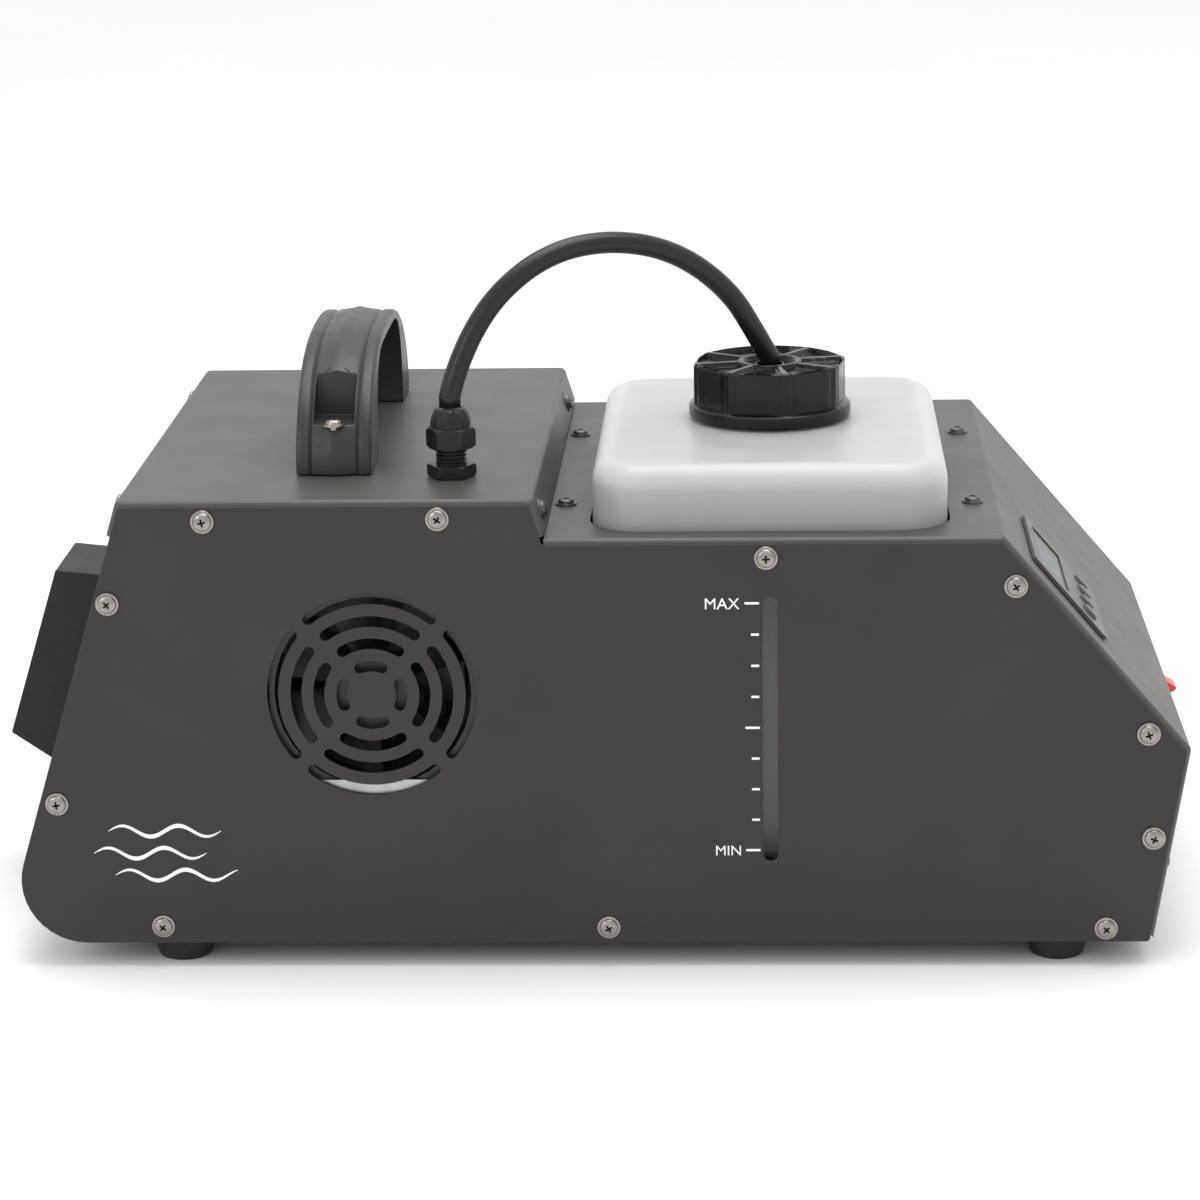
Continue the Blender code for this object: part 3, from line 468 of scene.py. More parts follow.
def boolean(obj, mesh, operation, into=None):
    tool = shape("tool", mesh, into)
    modifier = obj.modifiers.new(operation, "BOOLEAN")
    modifier.operation = operation
    modifier.object = tool
    settle(obj)
    bpy.data.objects.remove(tool)


def round_edges(obj, width, limit=40, segments=2):
    modifier = obj.modifiers.new("edges", "BEVEL")
    modifier.width = width * MM
    modifier.segments = segments
    modifier.limit_method = "ANGLE"
    modifier.angle_limit = math.radians(limit)
    modifier.use_clamp_overlap = False
    settle(obj)


def finished(obj, material, body="case", nodes=(), smooth=38):
    """Gives the piece its material and shading and sets it on its body."""
    obj.data.materials.clear()
    obj.data.materials.append(material)
    obj.data.shade_smooth()
    obj.data.set_sharp_from_angle(angle=math.radians(smooth))
    weighted = obj.modifiers.new("normals", "WEIGHTED_NORMAL")
    weighted.keep_sharp = True
    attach(obj, body)
    if nodes:
        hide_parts(*nodes)
    return obj


# Materials


def surface(name, color, roughness, metallic=0.0, drift=0.1, cloud=0.05, grain=0.0006,
            relief=0.00002, gloss=0.06, worn=None):
    """A material whose colour and gloss drift over cloud metres, with grain this far across and
    relief this deep, and with edges rubbed to the worn colour."""
    material = bpy.data.materials.new(name)
    material.use_nodes = True
    nodes, links = material.node_tree.nodes, material.node_tree.links
    shader = nodes["Principled BSDF"]
    shader.inputs["Metallic"].default_value = metallic
    place = nodes.new("ShaderNodeTexCoord").outputs["Object"]

    def noise(size, detail, rough=0.55):
        node = nodes.new("ShaderNodeTexNoise")
        node.inputs["Scale"].default_value = 1 / size
        node.inputs["Detail"].default_value = detail
        node.inputs["Roughness"].default_value = rough
        links.new(place, node.inputs["Vector"])
        return node.outputs["Fac"]

    def mixed(factor, first, second):
        node = nodes.new("ShaderNodeMix")
        node.data_type = "RGBA"
        links.new(factor, node.inputs["Factor"])
        for value, socket in ((first, node.inputs["A"]), (second, node.inputs["B"])):
            if isinstance(value, tuple):
                socket.default_value = (*value, 1)
            else:
                links.new(value, socket)
        return node.outputs["Result"]

    def ranged(value, low, high, to_low, to_high):
        node = nodes.new("ShaderNodeMapRange")
        links.new(value, node.inputs["Value"])
        for key, number in zip(("From Min", "From Max", "To Min", "To Max"), (low, high, to_low, to_high)):
            node.inputs[key].default_value = number
        return node.outputs["Result"]

    soft, fine = noise(cloud, 4), noise(grain, 3)
    dark = tuple(c * (1 - drift) for c in color)
    light = tuple(min(1, c * (1 + drift)) for c in color)
    tone = mixed(ranged(soft, 0.35, 0.65, 0, 1), dark, light)
    tone = mixed(ranged(fine, 0.3, 0.7, 0, 0.35), tone, light)
    if worn:
        bevel = nodes.new("ShaderNodeBevel")
        bevel.samples = 4
        bevel.inputs["Radius"].default_value = 0.5 * MM
        dot = nodes.new("ShaderNodeVectorMath")
        dot.operation = "DOT_PRODUCT"
        links.new(bevel.outputs["Normal"], dot.inputs[0])
        links.new(nodes.new("ShaderNodeNewGeometry").outputs["Normal"], dot.inputs[1])
        rubbed = nodes.new("ShaderNodeMath")
        rubbed.operation = "MULTIPLY"
        links.new(ranged(dot.outputs["Value"], 0.99, 0.8, 0, 1), rubbed.inputs[0])
        links.new(ranged(noise(0.006, 5, 0.7), 0.4, 0.62, 0.15, 0.8), rubbed.inputs[1])
        tone = mixed(rubbed.outputs["Value"], tone, worn)
    links.new(tone, shader.inputs["Base Color"])
    links.new(
        ranged(noise(cloud / 3, 6), 0.3, 0.7, roughness - gloss, roughness + gloss),
        shader.inputs["Roughness"],
    )
    bump = nodes.new("ShaderNodeBump")
    bump.inputs["Strength"].default_value = 1.0
    bump.inputs["Distance"].default_value = relief
    links.new(fine, bump.inputs["Height"])
    links.new(bump.outputs["Normal"], shader.inputs["Normal"])
    return material


def tuned(material, **sockets):
    """Sets constants on the material's shader."""
    shader = material.node_tree.nodes["Principled BSDF"]
    for key, value in sockets.items():
        shader.inputs[key.replace("_", " ").title().replace("Ior", "IOR")].default_value = value
    return material


def make_materials():
    made = {
        "case_paint": tuned(
            surface("case_paint", (0.021, 0.0165, 0.0185), 0.5, 0, 0.1, 0.09, 0.0007,
                    0.00003, 0.05, (0.11, 0.105, 0.1)),
            specular_ior_level=0.4),
        "cover_paint": surface("cover_paint", (0.054, 0.05, 0.046), 0.44, 0, 0.08, 0.09, 0.0007,
                               0.00002, 0.04, (0.15, 0.145, 0.14)),
        "hood_paint": tuned(
            surface("hood_paint", (0.009, 0.009, 0.0085), 0.5, 0, 0.1, 0.03, 0.0007,
                    0.00002, 0.05, (0.07, 0.07, 0.066)),
            specular_ior_level=0.35),
        "nickel_steel": surface("nickel_steel", (0.29, 0.27, 0.25), 0.28, 1.0, 0.18, 0.004, 0.0005,
                                0.00001, 0.08),
        "black_steel": surface("black_steel", (0.1, 0.095, 0.09), 0.33, 0.8, 0.2, 0.003, 0.0005,
                               0.00001, 0.08),
        # Painted shade: a near-black colour that stands for the shadow inside the screws' cross recesses
        # and the output socket's pin holes.
        "recess_and_painted_shade": surface("recess_and_painted_shade", (0.012, 0.011, 0.01), 0.7, 0, 0.2, 0.002),
        "zinc_sheet": surface("zinc_sheet", (0.4, 0.405, 0.41), 0.38, 1.0, 0.12, 0.012, 0.0015,
                              0.00001, 0.1),
        "cast_alloy": surface("cast_alloy", (0.5, 0.5, 0.51), 0.5, 1.0, 0.1, 0.01, 0.0012,
                              0.0001, 0.1),
        "brass": surface("brass", (0.66, 0.47, 0.2), 0.32, 1.0, 0.15, 0.01, 0.0004, 0.00001, 0.08),
        "black_plastic": surface("black_plastic", (0.018, 0.018, 0.018), 0.42, 0, 0.1, 0.02,
                                 0.0005, 0.00002),
        "gloss_black_plastic": tuned(
            surface("gloss_black_plastic", (0.006, 0.0056, 0.005), 0.2, 0,
                    0.15, 0.012, 0.002, 0.00002, 0.06),
            specular_ior_level=0.28),
        "handle_plastic": tuned(
            surface("handle_plastic", (0.022, 0.0205, 0.02), 0.4, 0, 0.12, 0.015,
                    0.0006, 0.00003, 0.07, (0.07, 0.068, 0.066)),
            specular_ior_level=0.42),
        "black_nylon": tuned(
            surface("black_nylon", (0.009, 0.0085, 0.0078), 0.34, 0, 0.12, 0.008,
                    0.0006, 0.00002, 0.06),
            specular_ior_level=0.3),
        "tank_plastic": tuned(
            surface("tank_plastic", (0.61, 0.605, 0.61), 0.34, 0, 0.04, 0.05, 0.002, 0.00003),
            transmission_weight=0.1, ior=1.45, subsurface_weight=0.85,
            subsurface_radius=(0.96, 0.98, 1.0), subsurface_scale=0.03),
        "foot_rubber": surface("foot_rubber", (0.012, 0.012, 0.012), 0.75, 0, 0.15, 0.008,
                               0.0006, 0.00006),
        "hose_rubber": tuned(
            surface("hose_rubber", (0.008, 0.0078, 0.0075), 0.32, 0, 0.12, 0.01,
                    0.0008, 0.00004, 0.06),
            specular_ior_level=0.36),
        "clear_tube": tuned(
            surface("clear_tube", (0.8, 0.81, 0.78), 0.2, 0, 0.03, 0.02),
            transmission_weight=0.5, ior=1.45),
        "circuit_board": surface("circuit_board", (0.03, 0.16, 0.06), 0.35, 0, 0.3, 0.004, 0.001,
                                 0.00003),
        "lcd_glass": tuned(
            surface("lcd_glass", (0.04, 0.046, 0.056), 0.3, 0, 0.05, 0.02, 0.0007,
                    0.000004, 0.03),
            specular_ior_level=0.35),
        "overlay_film": surface("overlay_film", (0.06, 0.057, 0.053), 0.38, 0, 0.06, 0.02, 0.0004,
                                0.00001, 0.05),
        "switch_red": tuned(
            surface("switch_red", (0.62, 0.02, 0.035), 0.2, 0, 0.08, 0.004, 0.001, 0.00001),
            subsurface_weight=0.3, subsurface_scale=0.002),
        "button_plastic": surface("button_plastic", (0.085, 0.082, 0.078), 0.4, 0, 0.08, 0.01),
        "print_white": surface("print_white", (0.8, 0.8, 0.8), 0.5, 0, 0.05, 0.004, 0.0004),
    }
    return made


MATERIALS = make_materials()


# Outer sheets


def panel_outline():
    corners = [TOP_FRONT, TOP_STEP, DECK_STEP, DECK_REAR, REAR_RIDGE, REAR_FOOT, FRONT_FOOT]
    return rounded(corners, [1.5, 1.5, 0.6, 2.0, 2.0, 1.5, NOSE_R], 12, closed=True)


def side_panel(name, low, high, holes, node):
    """The sheet is drawn in XY and stood up, which takes its z to -y."""
    mesh = sheet_metal([panel_outline(), *holes], -high, -low)
    obj = shape(name, moved(mesh, (0, 0, 0), (math.pi / 2, 0, 0)))
    return finished(obj, MATERIALS["case_paint"], nodes=[node])


def side_panels():
    middle = (LEVEL_X, sum(LEVEL_Z) / 2)
    holes = [slot_outline(middle, (LEVEL_Z[1] - LEVEL_Z[0]) / 2, LEVEL_WIDTH / 2)]
    for radius in GRILLE_RADII:
        for quarter in range(4):
            angle = quarter * math.pi / 2
            holes.append(arc_slot_outline(FAN_AT, radius, angle, GRILLE_WEB, GRILLE_SLOT))
    side_panel("near_panel", -HALF, SHEET - HALF, holes, "near_side_panel")
    first, pitch, count = VENT_X
    vents = [slot_outline((first + row * pitch, VENT_Z), *VENT_HALF) for row in range(count)]
    side_panel("far_panel", HALF - SHEET, HALF, vents, "far_side_panel")


def top_cover():
    start = toward(TOP_FRONT, FRONT_FOOT, LID_FRONT_DROP)
    run = (TOP_STEP[1] - LID_STEP_END) / (TOP_STEP[1] - DECK_STEP[1])
    end = Vector(TOP_STEP).lerp(Vector(DECK_STEP), run)
    corners = offset([start, TOP_FRONT, TOP_STEP, end], -LAP)
    obj = shape("lid", folded(corners, BEND_R, channel(SHEET_HALF)))
    boolean(obj, prism(circle(GLAND_AT, 6.5), 170, 180), "DIFFERENCE")
    round_edges(obj, EDGE_ROUND)
    finished(obj, MATERIALS["cover_paint"], nodes=["top_cover"])


def face_frame(first, second, third):
    """A sloping outer face: x runs down it, z points out, and its origin is on its upper edge."""
    line = offset([first, second, third], -LAP)
    way = line[2] - line[1]
    at = (line[1].x, 0, line[1].y)
    return Matrix.LocRotScale(at, Euler((0, math.atan2(-way.y, way.x), 0)), None)


SLOPE = face_frame(DECK_STEP, DECK_REAR, REAR_RIDGE)
REAR = face_frame(DECK_REAR, REAR_RIDGE, REAR_FOOT)


def deck():
    """The deck, the control slope and the rear face, folded from one sheet."""
    foot = toward(REAR_FOOT, REAR_RIDGE, 2.2)
    corners = [(DECK_START, DECK_STEP[1]), DECK_REAR, REAR_RIDGE, foot]
    line = offset(corners, -LAP, None, (foot.x - 40, foot.y))
    after = (line[-1].x - 40, line[-1].y)
    obj = shape("deck", folded(line, BEND_R, channel(SHEET_HALF), None, after))
    surface_z = DECK_STEP[1] + LAP - 0.1
    lean = (DECK_STEP[0] - TOP_STEP[0]) / (TOP_STEP[1] - DECK_STEP[1])
    corner = (TOP_STEP[0] + (TOP_STEP[1] - surface_z) * lean, surface_z)
    tab = [toward(corner, TOP_STEP, 9.0), corner, (216.0, surface_z)]
    boolean(obj, swept(tab, strip(-TAB_HALF, TAB_HALF, 0.1, 1.2)), "UNION")
    middle = (sum(TANK_X) / 2, sum(TANK_Y) / 2)
    size = (TANK_X[1] - TANK_X[0] + 2, TANK_Y[1] - TANK_Y[0] + 2)
    opening = rounded(centred(middle, size), TANK_CORNER + 1, 12, True)
    boolean(obj, prism(opening, 150, 170), "DIFFERENCE")
    sockets = [prism(centred(ROCKER_AT, ROCKER_HOLE), -6, 3)]
    sockets += [prism(centred(INLET_AT, INLET_HOLE), -6, 3)]
    sockets += [prism(circle((XLR_DOWN, y), XLR_HOLE_R), -6, 3) for y in XLR_Y.values()]
    boolean(obj, joined(sockets), "DIFFERENCE", REAR)
    window = [length - OVERLAY_LAP for length in OVERLAY_SIZE]
    boolean(obj, prism(centred(OVERLAY_AT, window), -3, 3), "DIFFERENCE", SLOPE)
    round_edges(obj, EDGE_ROUND)
    finished(obj, MATERIALS["cover_paint"], nodes=["deck_cover"])


def pan():
    """The bottom and the front, folded from one sheet round the nose."""
    rise = Vector((-FRONT_FOOT[0] + TOP_FRONT[0], TOP_FRONT[1])).normalized()
    foot = Vector(FRONT_FOOT) + rise * PAN_Z / rise.y
    top = toward(TOP_FRONT, FRONT_FOOT, LID_FRONT_DROP + 0.9)
    start = Vector((436.0, PAN_Z))
    before = start + (Vector(REAR_RIDGE) - Vector(REAR_FOOT))
    sheet = folded([start, foot, top], NOSE_R, channel(SHEET_HALF), before, None, 20)
    obj = shape("front_and_floor", sheet)
    tab = [toward(top, foot, 10.0), toward(top, TOP_FRONT, 8.0)]
    boolean(obj, swept(tab, strip(-TAB_HALF, TAB_HALF, 0.15, 1.2)), "UNION")
    tool = turned([(NOZZLE_HOLE_R, -10), (NOZZLE_HOLE_R, 10)])
    hole = moved(tool, NOZZLE_AT, (0, math.pi / 2, 0))
    boolean(obj, hole, "DIFFERENCE")
    round_edges(obj, EDGE_ROUND)
    finished(obj, MATERIALS["case_paint"], nodes=["base_pan"])


def hood():
    """A tapered duct, open at the front, whose walls stand on the front panel."""

    def ring(end, inset, out):
        (xt, zt), (xb, zb) = HOOD_TOP[end], HOOD_BOTTOM[end]
        half = HOOD_HALF - inset
        lean = (xt - xb) / (zt - zb)
        zt, zb = zt - inset, zb + inset
        xt, xb = xt - inset * lean - out, xb + inset * lean - out
        return [(xt, -half, zt), (xt, half, zt), (xb, half, zb), (xb, -half, zb)]

    rings = [ring(0, 0, GAP), ring(1, 0, 0), ring(1, SHEET, 0), ring(0, SHEET, GAP)]
    obj = shape("hood", loft(rings, closed=True))
    round_edges(obj, 0.6, 40, 3)
    finished(obj, MATERIALS["hood_paint"], nodes=["outlet_hood"])


# Screws and feet


def screw_mesh(name, radius=4.6, metal="nickel_steel"):
    """A pan head on a flange, cross-recessed, standing on z = 0."""
    profile = [(1.8, -4), (1.8, 0.02), (radius, 0.02), (radius, 0.5), (radius - 0.15, 0.75)]
    profile += [(radius - 0.9, 0.85), (radius - 1.0, 1.0), (radius - 1.05, 1.5)]
    for k in range(1, 7):
        angle = math.pi / 2 * k / 6
        profile.append(((radius - 1.05) * math.cos(angle) + 0.02, 1.5 + 1.1 * math.sin(angle)))
    mesh = turned(profile, 40)
    mesh.transform(Matrix.Scale(MM, 4))
    data = bpy.data.meshes.new(name)
    mesh.to_mesh(data)
    obj = bpy.data.objects.new(name, data)
    bpy.context.scene.collection.objects.link(obj)
    tools = []
    for turn in (0, math.pi / 2):
        blade = [(-2.0, -0.42), (2.0, -0.42), (2.0, 0.42), (-2.0, 0.42)]
        tip = [(x * 0.35, y * 0.8) for x, y in blade]
        wedge = loft([[(*p, 0.9) for p in tip], [(*p, 3.4) for p in blade]])
        tools.append(moved(wedge, (0, 0, 0), (0, 0, turn)))
    for wedge in tools:
        tool = bpy.data.objects.new("tool", bpy.data.meshes.new("tool"))
        wedge.transform(Matrix.Scale(MM, 4))
        wedge.to_mesh(tool.data)
        bpy.context.scene.collection.objects.link(tool)
        modifier = obj.modifiers.new("recess_and_painted_shade", "BOOLEAN")
        modifier.operation = "DIFFERENCE"
        modifier.object = tool
        settle(obj)
        bpy.data.objects.remove(tool)
    data = obj.data
    bpy.data.objects.remove(obj)
    data.materials.clear()
    data.materials.append(MATERIALS[metal])
    # The second material paints shade into the cross: its walls and floor are coloured near black for the
    # shadow that falls in the recess.
    data.materials.append(MATERIALS["recess_and_painted_shade"])
    for face in data.polygons:
        x, y, z = face.center / MM
        in_cross = min(abs(x), abs(y)) < 0.6 and math.hypot(x, y) < 2.2
        if in_cross and z > 0.8 and face.normal.z < 0.75:
            face.material_index = 1
        if in_cross and 0.8 < z < 1.6:
            face.material_index = 1
    data.shade_smooth()
    data.set_sharp_from_angle(angle=math.radians(35))
    return data


def screws(name, data, places, nodes=()):
    """places holds (point in the case's frame, direction that the head faces, turn of its cross)."""
    for number, (at, facing, spin) in enumerate(places, 1):
        obj = bpy.data.objects.new(f"{name}_{number:02d}", data)
        bpy.context.scene.collection.objects.link(obj)
        turn = Vector(facing).to_track_quat("Z", "Y") @ Euler((0, 0, spin)).to_quaternion()
        obj.matrix_world = Matrix.LocRotScale(CASE @ Vector(at), turn, None)
        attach(obj, "case")
        if nodes:
            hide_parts(nodes[number - 1])


def all_screws():
    bright, dark = screw_mesh("bright_screw"), screw_mesh("dark_screw", 4.2, "black_steel")
    spins = [0.2, 1.0, 0.05, 0.6, 0.35, 1.2, 0.8, 0.5, 0.9, 0.15, 0.7]
    near = [((x, -HALF, z), (0, -1, 0), s) for (x, z), s in zip(SIDE_SCREWS, spins)]
    screws("near_screw", bright, near, nodes=[f"panel_screw_{k:02d}" for k in range(1, 12)])
    screws("far_screw", bright, [((x, HALF, z), (0, 1, 0), s) for (x, _, z), _, s in near])
    level = DECK_STEP[1] + LAP
    screws("deck_screw", dark, [((x, y, level), (0, 0, 1), x + y) for x, y in DECK_SCREWS])
    fall = Vector((TOP_STEP[1] - DECK_STEP[1], DECK_STEP[0] - TOP_STEP[0])).normalized()
    step = Vector(TOP_STEP).lerp(Vector(DECK_STEP), 0.42) + fall * LAP
    facing = (fall.x, 0, fall.y)
    screws("step_screw", dark, [((step.x, y, step.y), facing, y) for y in STEP_SCREWS_Y])
    rise = (Vector(TOP_FRONT) - Vector(FRONT_FOOT)).normalized()
    front = toward(TOP_FRONT, FRONT_FOOT, 6.5) + Vector((-rise.y, rise.x)) * LAP
    facing = (-rise.y, 0, rise.x)
    screws("lid_screw", bright, [((front.x, y, front.y), facing, y) for y in LID_SCREWS_Y])
    x = sum(HANDLE_X) / 2
    grip = [((x, HANDLE_Y + y, POCKET_Z), (0, 0, 1), 0.4) for y in HANDLE_SCREWS_Y]
    screws("handle_screw", screw_mesh("handle_screw_head", 4.4), grip)


def feet():
    profile = [(4.6, -4), (4.6, -9.6), (5.0, -10), (9.2, -10), (10.0, -9.6), (10.5, -8.8)]
    profile += [(12.3, -2.0), (12.7, -1.4), (12.9, -0.7), (12.8, -0.02)]
    for end, x in zip(("front", "rear"), FEET_X):
        for side, y in (("near", -FOOT_Y), ("far", FOOT_Y)):
            obj = shape(f"rubber_{end}_{side}", moved(turned(profile, 48), (x, y, 0)))
            finished(obj, MATERIALS["foot_rubber"], nodes=[f"foot_{end}_{side}"])
    heads = [((x, y, -4), (0, 0, -1), x) for x in FEET_X for y in (-FOOT_Y, FOOT_Y)]
    screws("foot_screw", screw_mesh("foot_screw_head", 3.9), heads)


# Handle


def handle_ring(x, lift):
    """The arch's outline in YZ at one place across it, its back raised by lift."""
    points = []
    for k in range(73):
        t = math.pi * k / 72
        along = math.copysign(abs(math.cos(t)) ** 0.8, math.cos(t))
        points.append(((HANDLE_OUT[0] + lift) * along, (HANDLE_OUT[1] + lift) * math.sin(t)))
    for k in range(49):
        t = math.pi * (48 - k) / 48
        along = math.copysign(abs(math.cos(t)) ** 0.36, math.cos(t))
        points.append((HANDLE_IN[0] * along, HANDLE_IN[1] * math.sin(t)))
    return [(x, HANDLE_Y + y, HANDLE_FOOT + z) for y, z in points]


def handle():
    low, high = HANDLE_X
    lifts = [(0, -1.6), (0.5, -0.5), (1.6, 0), (4.2, 0), (5.0, -0.4), (5.6, -1.2), (6.2, -0.5)]
    lifts += [(7.2, 0), (10.0, 0.35)]
    stations = [(low + d, lift) for d, lift in lifts]
    stations += [((low + high) / 2 + d, lift) for d, lift in ((-2.2, 0.8), (0, 1.3), (2.2, 0.8))]
    stations += [(high - d, lift) for d, lift in reversed(lifts)]
    obj = shape("grip", loft([handle_ring(x, lift) for x, lift in stations]))
    for side in (-1, 1):
        reach = sorted(HANDLE_Y + side * d for d in POCKET_REACH)
        across = (low + HANDLE_WALL, high - HANDLE_WALL)
        boolean(obj, box(across, reach, (POCKET_Z, 240)), "DIFFERENCE")
    round_edges(obj, 0.4, 50)
    finished(obj, MATERIALS["handle_plastic"], nodes=["handle"], smooth=50)


# Tank and cap


def tank_ring(inset, z):
    (x0, x1), (y0, y1) = TANK_X, TANK_Y
    size = (x1 - x0 - 2 * inset, y1 - y0 - 2 * inset)
    sides = centred(((x0 + x1) / 2, (y0 + y1) / 2), size)
    return [(*p, z) for p in rounded(sides, max(TANK_CORNER - inset, 4.0), 12, True)]


def neck_ring(r, z):
    """A circle whose points face those of the tank's rings."""
    middle = Vector(CAP_AT)
    return [
        (*(middle + (Vector((x, y)) - middle).normalized() * r), z) for x, y, _ in tank_ring(0, 0)
    ]


def tank():
    floor, top = TANK_Z
    wall = 2.5
    outer = [tank_ring(4.0, floor), tank_ring(1.0, floor + 1.4), tank_ring(0, floor + 5)]
    outer += [tank_ring(0, z) for z in (60, 100, 140, 160)]
    for k in range(13):
        angle = math.pi / 2 * k / 12
        inset = TANK_SHOULDER * (1 - math.cos(angle))
        outer.append(tank_ring(inset, top - TANK_SHOULDER * (1 - math.sin(angle))))
    for share in (0.3, 0.6, 0.85):
        far, near = tank_ring(TANK_SHOULDER, top), neck_ring(25.5, top)
        outer.append([tuple(Vector(a).lerp(Vector(b), share)) for a, b in zip(far, near)])
    neck = [(25.5, top), (25.5, 190), (27, 191), (27, 192.5), (25.5, 193.5)]
    neck += [(25.5, 201.2), (21, 201.2), (21, top - wall)]
    outer += [neck_ring(r, z) for r, z in neck]
    lid = top - wall
    inner = [tank_ring(9.0, lid), tank_ring(4.5, lid - 2.4), tank_ring(wall, lid - 8)]
    inner += [tank_ring(wall, z) for z in (160, 140, 100, 60)]
    inner += [tank_ring(wall, floor + 8), tank_ring(7.0, floor + wall)]
    obj = shape("fluid_tank", loft(outer + inner))
    finished(obj, MATERIALS["tank_plastic"], "tank_unit", ["tank"], 60)


def rib_share(angle, half_width, at_radius):
    """1 on a rib of the cap and 0 between ribs, with soft flanks."""
    pitch = 2 * math.pi / CAP_RIBS
    off = abs((angle - CAP_RIB_TURN + pitch / 2) % pitch - pitch / 2) * at_radius
    return min(1.0, max(0.0, (half_width + 0.7 - off) / 0.7))


def cap_wall(r, angle):
    """Flats between ribs, on the wall above the lower ring."""
    if r < 29.0 or r > 31.4:
        return r
    pitch = 2 * math.pi / CAP_RIBS
    off = (angle - CAP_RIB_TURN) % pitch - pitch / 2
    flat = (r - 0.4) * math.cos(pitch / 2 - 0.1) / math.cos(off)
    flat = min(r - 0.7, flat)
    return flat + (r - flat) * rib_share(angle, 1.1, r)


def cap():
    low, high = CAP_Z
    wall = [(28, low), (32.1, low), (32.5, low + 0.5), (32.5, low + 3.9), (32.1, low + 4.5)]
    wall += [(31.5, low + 4.8), (31.0, low + 5.4), (31.0, high - 1.4), (30.7, high - 0.5)]
    crown = [(29.8, high - 0.1), (28.9, high - 0.1)]
    crown += [(r, high - 0.1) for r in (28.3, 27.4, 24.0, 20.0, 16.0, 13.4)]
    hub = [(12.8, high - 0.4), (12.2, high - 0.1), (11.0, high - 0.1), (10.3, high - 0.5)]
    hub += [(9.6, high - 2.2), (6.4, high - 2.4), (5.8, high - 1.6), (5.3, high - 1.6)]
    hub += [(5.2, high - 6), (28, high - 6)]
    mesh = turned(wall + crown + hub, 288, True, cap_wall)
    for vert in mesh.verts:
        x, y, z = vert.co
        r, angle = math.hypot(x, y), math.atan2(y, x)
        if 13.0 < r < 28.6 and z > high - 0.5:
            vert.co.z = high - 2.0 + 1.9 * rib_share(angle, 1.3, r)
    obj = shape("cap_moulding", moved(mesh, (*CAP_AT, 0)))
    finished(obj, MATERIALS["gloss_black_plastic"], "cap", ["tank_cap"], 50)


# Gland and hose


def hex_reach(flat):
    """Clips a round profile to a hexagon whose flats stand this far from the middle."""

    def reach(r, angle):
        off = (angle + math.pi / 6) % (math.pi / 3) - math.pi / 6
        return min(r, flat / math.cos(abs(off) - math.pi / 6)) if r > flat - 0.4 else r

    return reach


def gland():
    top = TOP_FRONT[1] + LAP + GAP
    corner = 9.65
    flat = corner * math.cos(math.pi / 6)
    body = [(6.0, 164), (6.0, top), (corner - 0.7, top), (corner, top + 0.5)]
    body += [(corner, top + 4.2), (corner - 0.9, top + 4.9), (6.0, top + 4.9)]
    for k in range(4):
        z = top + 5.1 + 1.5 * k
        body += [(6.0, z), (6.0, z + 0.5), (5.3, z + 0.9), (5.3, z + 1.2)]
    body += [(6.0, 188.3)]
    obj = shape("gland_base", moved(turned(body, 72, radius=hex_reach(flat)), (*GLAND_AT, 0)))
    finished(obj, MATERIALS["black_nylon"], nodes=["gland_body"])

    def fluted(r, angle):
        flute = 0.45 * max(0.0, math.cos(10 * angle)) if 5.8 < r < flat - 0.4 else 0.0
        return hex_reach(flat)(r, angle) - flute

    nut = [(corner - 0.9, 188.5), (corner, 189.2), (corner, 195.4), (corner - 0.9, 196.2)]
    nut += [(8.4, 196.5), (7.8, 196.8), (7.9, 198.2), (7.7, 199.8), (7.2, 201.4), (6.5, 202.8)]
    nut += [(5.7, 203.7), (5.0, 204.0), (4.5, 203.6)]
    obj = shape("gland_clamp_nut", moved(turned(nut, 120, radius=fluted), (*GLAND_AT, 0)))
    finished(obj, MATERIALS["black_nylon"], nodes=["gland_nut"])


def feed_hose():
    """The hose leaves the gland straight up, arches over and drops into the cap's middle."""
    start, end = Vector(GLAND_AT), Vector(CAP_AT)
    route = [Vector((*start.lerp(end, share), z)) for share, z in HOSE_ROUTE]
    line = [route[0], *catmull(route[1:-1], HOSE_D / 3), route[-1]]
    curve = bpy.data.curves.new("hose", "CURVE")
    curve.dimensions = "3D"
    curve.bevel_depth = HOSE_D / 2
    curve.bevel_resolution = 8
    curve.use_fill_caps = True
    spline = curve.splines.new("POLY")
    spline.points.add(len(line) - 1)
    for place, point in zip(spline.points, line):
        place.co = (*point, 1)
    guide = bpy.data.objects.new("hose", curve)
    data = bpy.data.meshes.new_from_object(guide)
    mesh = bmesh.new()
    mesh.from_mesh(data)
    bmesh.ops.remove_doubles(mesh, verts=mesh.verts, dist=1e-4)
    bpy.data.objects.remove(guide)
    obj = shape("hose_from_tank", mesh)
    obj.data.materials.append(MATERIALS["hose_rubber"])
    obj.data.shade_smooth()
    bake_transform(obj)
    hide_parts("feed_hose")


# Printing on the near side

SCALE_ENDS = (136.4, 37.7)
SCALE_MARKS = 9
INK = (0.02, 0.06)  # under and over the panel's face


def text_piece(name, words, height, right, middle):
    """Raised ink on the near panel, its right end and its middle height given."""
    curve = bpy.data.curves.new(name, "FONT")
    curve.body = words
    curve.size = height / 0.729
    curve.extrude = 0.03
    curve.align_x = "RIGHT"
    guide = bpy.data.objects.new(name, curve)
    data = bpy.data.meshes.new_from_object(guide)
    bpy.data.objects.remove(guide)
    mesh = bmesh.new()
    mesh.from_mesh(data)
    mesh = moved(mesh, (right, -HALF - 0.03, middle - height / 2), (math.pi / 2, 0, 0))
    obj = shape(name, mesh)
    finished(obj, MATERIALS["print_white"])


